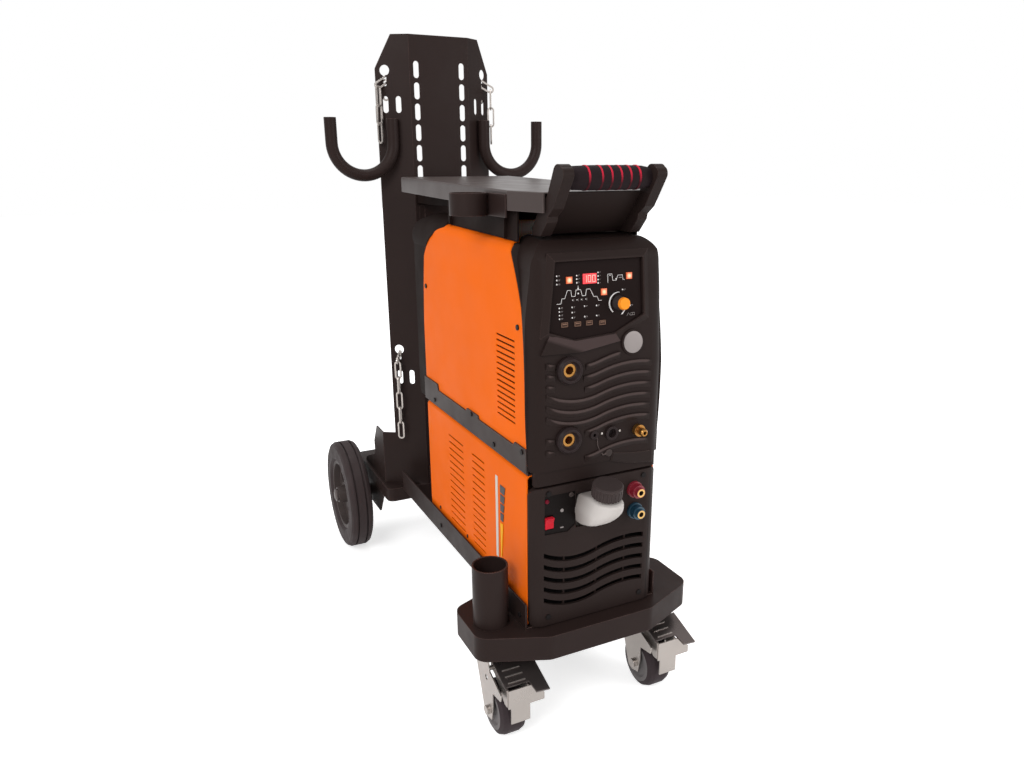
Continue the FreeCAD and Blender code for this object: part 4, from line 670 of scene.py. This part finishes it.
def display_digits():
    """Three glowing digits in the window, made of straight bars."""
    low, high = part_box("display_window")
    centre = PANEL.inverted() @ middle_of("display_window")
    window_top = (PANEL.inverted() @ Vector((0, low.y, high.z))).z / MM
    digits = Solids(PANEL)
    bars = {"top": ((0, 2), (1, 2)), "bottom": ((0, 0), (1, 0))}  # ends, in widths and half heights
    bars |= {"left high": ((0, 1), (0, 2)), "left low": ((0, 0), (0, 1))}
    bars |= {"right high": ((1, 1), (1, 2)), "right low": ((1, 0), (1, 1))}
    shown = {
        1: ("right high", "right low"),
        0: ("top", "bottom", "left high", "left low", "right high", "right low"),
    }
    width, half_height, pitch, thickness = 4.6, 4.7, 7.6, 1.1
    middle_place = 1.15  # a little past the second digit, so that the three stand left of the middle
    top = window_top + 0.05
    for place, digit in enumerate((1, 0, 0)):
        left = centre.x / MM + (place - middle_place) * pitch - width / 2
        bottom = centre.y / MM - half_height
        for bar in shown[digit]:
            ends = [(left + x * width, bottom + y * half_height) for x, y in bars[bar]]
            digits.stroke(ends, thickness, top - 0.2, top)
    digits.piece("display_digits", DIGIT_GLOW)


def key_marks():
    """The pale outline and mark on each of the four keys."""
    bottom, top = -0.3, 0.06
    for number in range(1, 5):
        low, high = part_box(f"function_key_{number}")
        middle = PANEL.inverted() @ middle_of(f"function_key_{number}")
        x, y = middle.x / MM, middle.y / MM
        half = (high.x - low.x) / 2 / MM - 1
        rise = (high.z - low.z) / 2 / MM - 1
        marks = Solids(PANEL)
        corners = [(x + a * half, y + b * rise) for a, b in ((-1, -1), (1, -1), (1, 1), (-1, 1))]
        marks.stroke(corners + corners[:1], 0.6, bottom, top)
        marks.stroke([(x - 3, y + 0.8), (x + 3, y + 0.8)], 1.0, bottom, top)
        marks.piece(f"function_key_{number}_mark", KEY_PRINT, f"function_key_{number}_body")


# ---------------------------------------------------------------- front details


def badge():
    """The round metal badge at the upper right of the front, left bare."""
    x, y, radius = 59.3, -63.1, 17.6
    face = Solids(PANEL)
    radii = (radius, radius - 0.4, radius * 0.7, radius * 0.35)
    face.stud(x, y, radii, (2.3, 3.3, 3.8, 4), 48)
    face.piece("badge_face", BADGE_SILVER)


FACE_FOOT = 650 * MM  # the leaning face meets the upright one at this height
FRONT_Y = KNOB.y + (KNOB.z - FACE_FOOT) * FACE_OUT.z / FACE_OUT.y
FRONT = axes((0, FRONT_Y, 0), (1, 0, 0), (0, 0, 1))
RIB_LEFT = -95
RIB_RIGHT = 95


def wave(x):
    """The height of the front's wave above its lowest point: a dip arc that meets a crest arc."""
    dip_radius, crest_radius, dip_x, crest_x, rise = 118, 190, -38, 60, 16
    turn_x = dip_x + (crest_x - dip_x) * dip_radius / (dip_radius + crest_radius)
    if x < turn_x:
        return dip_radius - math.sqrt(dip_radius**2 - (x - dip_x) ** 2)
    return rise - crest_radius + math.sqrt(crest_radius**2 - (x - crest_x) ** 2)


def wave_ribs():
    """The louvre-like ribs of the front: a ledge on top, and a long slope back to the face below."""
    ribs = Solids(FRONT)
    spans = [(RIB_LEFT, RIB_RIGHT, z) for z in (566.5, 584.5, 602.5)]
    spans += [(-26, RIB_RIGHT, 506), (-26, RIB_RIGHT, 548.5)]
    spans += [(-28, RIB_RIGHT, 620.5), (-30, RIB_RIGHT, 638.5), (-26, 36, 656.5)]
    stubs = ((RIB_LEFT, 0, 0.5), (-90, -1, 0.9), (-80, -3, 0.6))  # x, shift in z, share of the height
    section = ((2.6, -0.5), (2.8, 2.6), (1.8, 3.4), (0, 3.1), (-8, 0.3), (-8, -0.5))
    steps = 28
    for left, right, dip_z in spans:
        sections = []
        for step in range(steps + 1):
            x = left + (right - left) * step / steps
            fade = min(1, 0.5 + min(step, steps - step) / 5)
            sections.append([(x, dip_z + wave(x) + up, out * fade) for up, out in section])
        ribs.skin(sections)
    for stub_z in (526, 545, 631, 648, 665):
        sections = []
        for x, lean, fade in stubs:
            sections.append([(x, stub_z + lean + up, out * fade) for up, out in section])
        ribs.skin(sections)

    # the ribs' top ledges are painted lighter than their slopes: a painted highlight
    def crest(surface):
        return surface.below(surface.axis("Y"), FRONT_Y - 2.5 * MM, 0.4 * MM)

    made = two_coloured("rib_moulding", crest, paint(36, 27, 25), paint(70, 58, 56), 0.45)
    ribs.piece("front_wave_ribs", made)


def panel_frame():
    """The raised surround of the control panel, sloping down to the face."""
    corners = [(-76, 816), (-89, 714), (-45, 699), (27, 704), (78, 729), (76, 816)]  # x and z
    bottom_corners = (2, 3)
    lean = -FACE_OUT.y  # the rise in z for each step up the leaning face
    points = [Vector((x, (z - KNOB.z / MM) / lean)) for x, z in corners]
    section = ((0, -1.4), (0, 3.2), (0.8, 4.2), (2.6, 4.4), (13, -0.3), (13, -1.4))
    sections = []
    for index, point in enumerate(points):
        before = (point - points[index - 1]).normalized()
        after = (points[(index + 1) % len(points)] - point).normalized()
        outward = Vector((-before.y - after.y, before.x + after.x))
        outward = -outward / (1 + before.dot(after))
        height = 0.35 if index in bottom_corners else 1
        sections.append([(*(point + outward * (0.2 + away)), out * height) for away, out in section])
    ring = Solids(PANEL)
    for index, section in enumerate(sections):
        ring.skin([section, sections[(index + 1) % len(sections)]])
    ring.piece("panel_surround", MATERIALS["black_plastic"], bevel=0.6)


def front_fittings():
    """Two small screws beside the remote socket, and the dust cap that hangs on its tether."""
    screws = Solids(FRONT)
    for x, z in ((5.5, 542), (39, 541.7)):
        screws.stud(x, z, (2.2, 2, 1.1), (-0.5, 0.7, 1.1), 16)
    screws.piece("remote_socket_screws", MATERIALS["zinc_steel"])
    tether = Solids(FRONT)
    tether.stroke([(-3.5, 536), (-2.5, 524), (2, 513), (9, 505)], 1.5, 0.5, 1.6)
    tether.stud(18, 508, (6.2, 6, 5), (0.2, 3.6, 4.4))
    tether.stroke([(8, 505.5), (14, 507)], 2.2, 0.5, 2.2)
    tether.piece("socket_dust_cap", MATERIALS["grey_paint"], bevel=0.3)


def front_chin():
    """The raised chin at the front's lower right, below the ribs."""
    chin = Solids(FRONT)
    outer = [(26, 506), (23, 492), (60, 482), (104, 477), (104, 498), (66, 500)]
    inner = [(28, 503), (26, 493.5), (61, 484.5), (102, 479.5), (102, 495.5), (66, 497)]
    chin.loft([outer, outer, inner], [-0.5, 1, 1.8])
    # its edges are painted seven times lighter: a painted highlight, with some scuffing
    made = plain("chin_moulding", paint(36, 28, 26), 0.5, scuff_and_highlight=0.9, edge=1.4, scuff_and_highlight_lift=7)
    chin.piece("front_chin", made)


def front_returns():
    """The returns behind the front moulding's round sides, which reach back to the cover's edge."""
    returns = Solids(Matrix.Identity(4))
    # The cover's front edge in side view: an arc round a centre, and a slope above its corner
    edge_radius, centre_y, centre_z = 431, -36.1, 613.3
    corner_y, corner_z, slope = -405.1, 836, 2.2
    # Half the cover's width above its shoulder, and half the moulding's width, both by height
    shoulder_x, shoulder_z, shoulder_radius = 102.6, 823, 16.4
    turn_x, turn_z, flare, rounding = 113, 804, 0.105, 0.0114
    widest, moulding_wall = 114, 4
    front_gap, rear_gap = 2.5, 0.4
    for side in (-1, 1):
        sections = []
        for height in [716 + 8 * step for step in range(16)] + [839.3]:
            if height <= corner_z:
                edge = centre_y - math.sqrt(edge_radius**2 - (height - centre_z) ** 2)
            else:
                edge = corner_y + (height - corner_z) * slope
            above = max(0, height - shoulder_z)
            cover = shoulder_x + math.sqrt(shoulder_radius**2 - above**2)
            flared = max(0, turn_z - height) * flare
            moulding = turn_x + flared - max(0, height - turn_z) ** 2 * rounding
            near, far = sorted((side * cover, side * min(widest, moulding - moulding_wall)))
            front, rear = edge - front_gap, edge - rear_gap
            corners = ((near, front), (far, front), (far, rear), (near, rear))
            sections.append([(x, y, height) for x, y in corners])
        returns.skin(sections)
    returns.piece("front_returns", plain("return_moulding", paint(46, 38, 36), 0.5, grain=1300))


def hood_slot():
    """The slot in the hood's front, below the handle: a dark piece of painted shade."""
    middle = (-10 * MM, FRONT_Y + 27.7 * MM, 840 * MM)
    hood_up = (0, 12, 13)  # the way up the hood's leaning front
    slot = Solids(axes(middle, (1, 0, 0), hood_up))
    outer = [(-24.5, -7), (24.5, -7), (24.5, 7), (-24.5, 7)]
    inner = [(-23, -5.5), (23, -5.5), (23, 5.5), (-23, 5.5)]
    slot.loft([outer, outer, inner], [-3, 0.9, 0.4])
    slot.piece("hood_slot", SHADE_SHEET)


def vent_shade_sheets():
    """Dark sheets just inside the side louvres: painted shade, so that the covers' insides look dark
    through them.
    """
    shade_sheets = Solids(axes((0, 0, 0), (0, 1, 0), (0, 0, 1)))
    openings = (("power_cover", -426, -350, 552, 700), ("cooler_cover", -295, -110, 262, 462))
    inset, thickness = 3.2, 0.8
    for cover, near, far, low, high in openings:
        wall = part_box(cover)[1].x / MM - inset
        shade_sheets.block(near, low, far, high, wall - thickness, wall)
        shade_sheets.block(near, low, far, high, -wall, thickness - wall)
    shade_sheets.piece("vent_shade_sheets", SHADE_SHEET)


def cover_screws():
    """Two screws low on the cooler's left cover."""
    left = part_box("cooler_cover")[0].x
    screws = Solids(axes((left, 0, 0), (0, -1, 0), (0, 0, 1)))
    for forward in (50, 200):
        screws.stud(forward, 265, (3.6, 3.4, 1.6), (-0.3, 1, 1.6), 20)
    screws.piece("cover_screws", MATERIALS["black_steel"])


def column_slot_blanks():
    """The plates that close the column's lowest slots."""
    column_front = 194.9 * MM
    radius, top, bottom = 6.1, 859.1, 838.1
    blanks = Solids(axes((0, column_front, 0), (1, 0, 0), (0, 0, 1)))
    for x in (-50, 50):
        outline = circle(x, top, radius, 12, 0, 180) + circle(x, bottom, radius, 12, 180, 359)
        blanks.prism(outline, -3, -0.2)
    blanks.piece("column_slot_blanks", MATERIALS["black_paint"])


CAP_OUT = 41.4  # how far the filler cap's middle stands out of the cooler's front, in mm


def collar_rise(height, away):
    """How far the neck's top edge rises towards the back, square to the leaning cap."""
    level_below, lowest, slope, gap = 445, -6, 0.45, 0.5
    if height < level_below:
        return 0
    lean = math.tan(math.radians(10))
    return min((CAP_OUT - away) * lean, max(0, away * slope) + lowest) - gap


def filler_neck():
    """The coolant tank, with the smooth moulded neck that comes out through the cooler's front."""
    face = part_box("cooler_front_bezel")[0].y
    tank = Solids(axes((0, face, 0), (1, 0, 0), (0, 0, 1)))
    cap_low, cap_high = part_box("filler_cap")
    middle = (cap_low.x + cap_high.x) / 2 / MM
    half = (cap_high.x - cap_low.x) / 2 / MM
    tank_front = -38
    shares = (0, 0.46, 0.7)  # where points lie along the neck's sides, from the tank to its corner
    levels = (  # height, left, right, how far out, and the radii of the left and right front corners
        (450, middle - half, middle + half, 70.8, half - 0.5, half - 0.5),
        (440, middle - half, middle + half, 70.6, 30, half - 1),
        (427, -40.5, 22, 67.5, 24, 27),
        (416, -40, 11, 61, 17, 21),
        (407, -40, -4, 51, 10, 14),
        (401, -39.5, -8, 30, 8, 10),
        (395.5, -39, -12, 8, 6, 8),
    )
    sections = []
    for height, left, right, out, left_corner, right_corner in levels:
        left_run, right_run = out - left_corner - tank_front, out - right_corner - tank_front
        plan = [(left, tank_front + left_run * share) for share in shares]
        plan += reversed(circle(left + left_corner, out - left_corner, left_corner, 8, 90, 180))
        plan += reversed(circle(right - right_corner, out - right_corner, right_corner, 8, 0, 90))
        plan += [(right, tank_front + right_run * share) for share in reversed(shares)]
        sections.append([(x, height + collar_rise(height, away), away) for x, away in plan])
    tank.skin(sections)
    collar = circle(middle, -CAP_OUT, 20)
    tank.skin([[(x, height, -y) for x, y in collar] for height in (440, 462)])
    body = [(-113, -160), (60, -160), (60, tank_front), (-113, tank_front)]
    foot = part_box("coolant_tank")[0].z / MM
    tank.skin([[(x, height, away) for x, away in body] for height in (foot, foot + 8, 462, 470)])

    # the neck is painted darker towards the cooler's front: painted shade where it meets the panel
    least_shaded, most_shaded = face - 46 * MM, face - 2 * MM

    def away_from_panel_shade(surface):
        return surface.spread(surface.axis("Y"), 1, 0, least_shaded, most_shaded)

    milky = two_coloured("milky_neck", away_from_panel_shade, paint(132, 124, 120), paint(190, 184, 180), 0.42)
    made = tank.piece("tank_and_neck", milky, smooth=2)
    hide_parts("coolant_tank")


def grip_rings():
    """The six red rings round the handle's grip, darker on their lower half as painted shade."""
    low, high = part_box("handle_grip")
    centre = (low + high) / 2
    radius = (high.z - low.z) / 2 / MM
    radii = (radius - 1.5, radius + 0.35, radius + 0.35, radius - 1.5)
    half_foot, half_crown = 1.9, 1.4
    fade = 7 * MM
    rings = Solids(axes(centre, (0, 1, 0), (0, 0, 1)))
    for x in (-38, -17, -1, 15, 31, 47):
        heights = (x - half_foot, x - half_crown, x + half_crown, x + half_foot)
        rings.stud(0, 0, radii, heights, 48)

    # the rings' lower half is painted darker red: painted shade on the side away from the light
    def upper(surface):
        return surface.spread(surface.axis("Z"), 0, 1, centre.z - fade, centre.z + fade)

    made = two_coloured("grip_red", upper, paint(58, 18, 24), paint(176, 34, 54), 0.6)
    rings.piece("grip_rings", made)


def gauge_scale():
    """Four dark blocks and an amber wedge beside the level gauge."""
    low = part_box("level_gauge")[0]
    side = axes((low.x, 0, 0), (0, -1, 0), (0, 0, 1))
    inner, outer = -0.5, 0.25
    front = -low.y / MM
    near = front + 8
    top_z, pitch, height, widest, narrower = 433, 17.2, 14, 28, 2.2
    blocks = Solids(side)
    for index in range(4):
        top = top_z - index * pitch
        bottom = top - height
        far = front + widest - index * narrower
        blocks.prism([(near, bottom), (far - 3, bottom), (far, top), (near, top)], inner, outer)
    blocks.piece("gauge_blocks", SLATE)
    wedge = Solids(side)
    corners = [(front + 9, 298), (front + 12, 298), (front + 18, 362), (near, 362)]
    wedge.prism(corners, inner, outer)
    wedge.piece("gauge_wedge", AMBER)


def cooler_details():
    """The lamp, the switch's marks, a blanking plug, and a dark sheet of painted shade behind the
    cooler's front.
    """
    front = axes((0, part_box("cooler_front_bezel")[0].y, 0), (1, 0, 0), (0, 0, 1))
    lens = Solids(front)
    lens.stud(-91.4, 441.4, (4, 3.4, 1.8), (-4, 0.4, 1.2))
    lens.piece("pilot_lamp", LAMP_RED)
    marks = Solids(front)
    recess, print_top = -1.6, -1.2
    marks.disc(-64, 421, 3, recess, print_top, 20)
    marks.block(-67, 390, -61, 392.2, recess, print_top)
    marks.piece("switch_marks", GREY_PRINT)
    plug = Solids(front)
    plug.stud(-47.6, 446, (4.2, 3.8, 2), (-1, 1, 1.8))
    plug.piece("blanking_plug", MATERIALS["grey_paint"])
    # a dark sheet of painted shade behind the grille, in place of the shaded inside
    shade_sheet = Solids(front)
    shade_sheet.block(-103, 230, 103, 374, -20, -18)
    shade_sheet.piece("grille_shade_sheet", SHADE_SHEET)


panel_print()
display_digits()
key_marks()
wave_ribs()
panel_frame()
badge()
front_fittings()
front_chin()
front_returns()
hood_slot()
vent_shade_sheets()
cover_screws()
column_slot_blanks()
filler_neck()
grip_rings()
gauge_scale()
cooler_details()


# ---------------------------------------------------------------- camera, floor and light


def camera():
    """The camera that the product was looked at from: left of the front and a little above."""
    place = (-0.62643, -1.51175, 0.96112)
    yaw, pitch = math.radians(26.90), math.radians(17.36)
    data = bpy.data.cameras.new("camera")
    data.sensor_width = 36
    data.lens = 28.06
    data.shift_x = -0.0284
    data.shift_y = 0.0236
    viewer = bpy.data.objects.new("camera", data)
    turn = Matrix.Rotation(-yaw, 4, "Z") @ Matrix.Rotation(math.radians(90) - pitch, 4, "X")
    viewer.matrix_world = Matrix.Translation(place) @ turn
    bpy.context.collection.objects.link(viewer)
    bpy.context.scene.camera = viewer


def seen_directly(tree):
    """1 for rays from the camera, mirrors and glass, and 0 for light on the object."""
    path = add_node(tree, "ShaderNodeLightPath")
    total = path.outputs["Is Camera Ray"]
    for name in ("Is Glossy Ray", "Is Transmission Ray"):
        other = path.outputs[name]
        total = add_node(tree, "ShaderNodeMath", {"operation": "MAXIMUM"}, _0=total, _1=other).outputs[0]
    return total


def even_light():
    """Even light from the world, which looks white where it is seen directly."""
    on_object, in_view = 0.42, 1
    world = bpy.data.worlds.new("studio")
    bpy.context.scene.world = world
    world.use_nodes = True
    tree = world.node_tree
    tree.nodes.clear()
    seen = seen_directly(tree)
    strength = add_node(tree, "ShaderNodeMapRange", Value=seen, To_Min=on_object, To_Max=in_view)
    sky = add_node(tree, "ShaderNodeBackground", Strength=strength.outputs[0], Color=(1, 1, 1, 1))
    add_node(tree, "ShaderNodeOutputWorld", Surface=sky.outputs[0])


def white_floor():
    """A white floor that glows brighter away from the object, and keeps a soft shadow under it."""
    made = bpy.data.materials.new("white_floor")
    made.use_nodes = True
    tree = made.node_tree
    tree.nodes.clear()
    lit = add_node(tree, "ShaderNodeBsdfDiffuse", Color=(0.9, 0.9, 0.9, 1))
    place = add_node(tree, "ShaderNodeNewGeometry").outputs["Position"]
    away = add_node(tree, "ShaderNodeVectorMath", {"operation": "LENGTH"}, _0=place).outputs["Value"]
    far = add_node(
        tree, "ShaderNodeMapRange", Value=away, From_Min=0.7, From_Max=2, To_Min=0.6, To_Max=1
    ).outputs[0]
    seen = seen_directly(tree)
    level = add_node(tree, "ShaderNodeMath", {"operation": "MULTIPLY"}, _0=seen, _1=far).outputs[0]
    glow = add_node(tree, "ShaderNodeEmission", Strength=level)
    both = add_node(tree, "ShaderNodeAddShader", _0=lit.outputs[0], _1=glow.outputs[0])
    add_node(tree, "ShaderNodeOutputMaterial", Surface=both.outputs[0])
    bpy.ops.mesh.primitive_plane_add(size=30, location=(0, 0, 0))
    floor = bpy.context.object
    floor.name = "floor"
    floor.data.materials.append(made)


def lamp(name, place, target, size, watts):
    """A soft square lamp that points at a target."""
    data = bpy.data.lights.new(name, "AREA")
    data.size = size
    data.energy = watts
    made = bpy.data.objects.new(name, data)
    made.location = place
    made.rotation_euler = (Vector(target) - Vector(place)).to_track_quat("-Z", "Y").to_euler()
    bpy.context.collection.objects.link(made)


bpy.context.scene.view_settings.view_transform = "Standard"
camera()
even_light()
white_floor()
lamp("key", (-2.2, -2.0, 2.4), (0, 0, 0.6), 1.6, 70)
lamp("fill", (1.9, -2.6, 1.4), (0, -0.3, 0.6), 1.6, 36)
lamp("top", (0, 0.3, 3.2), (0, 0, 0.6), 1.8, 40)
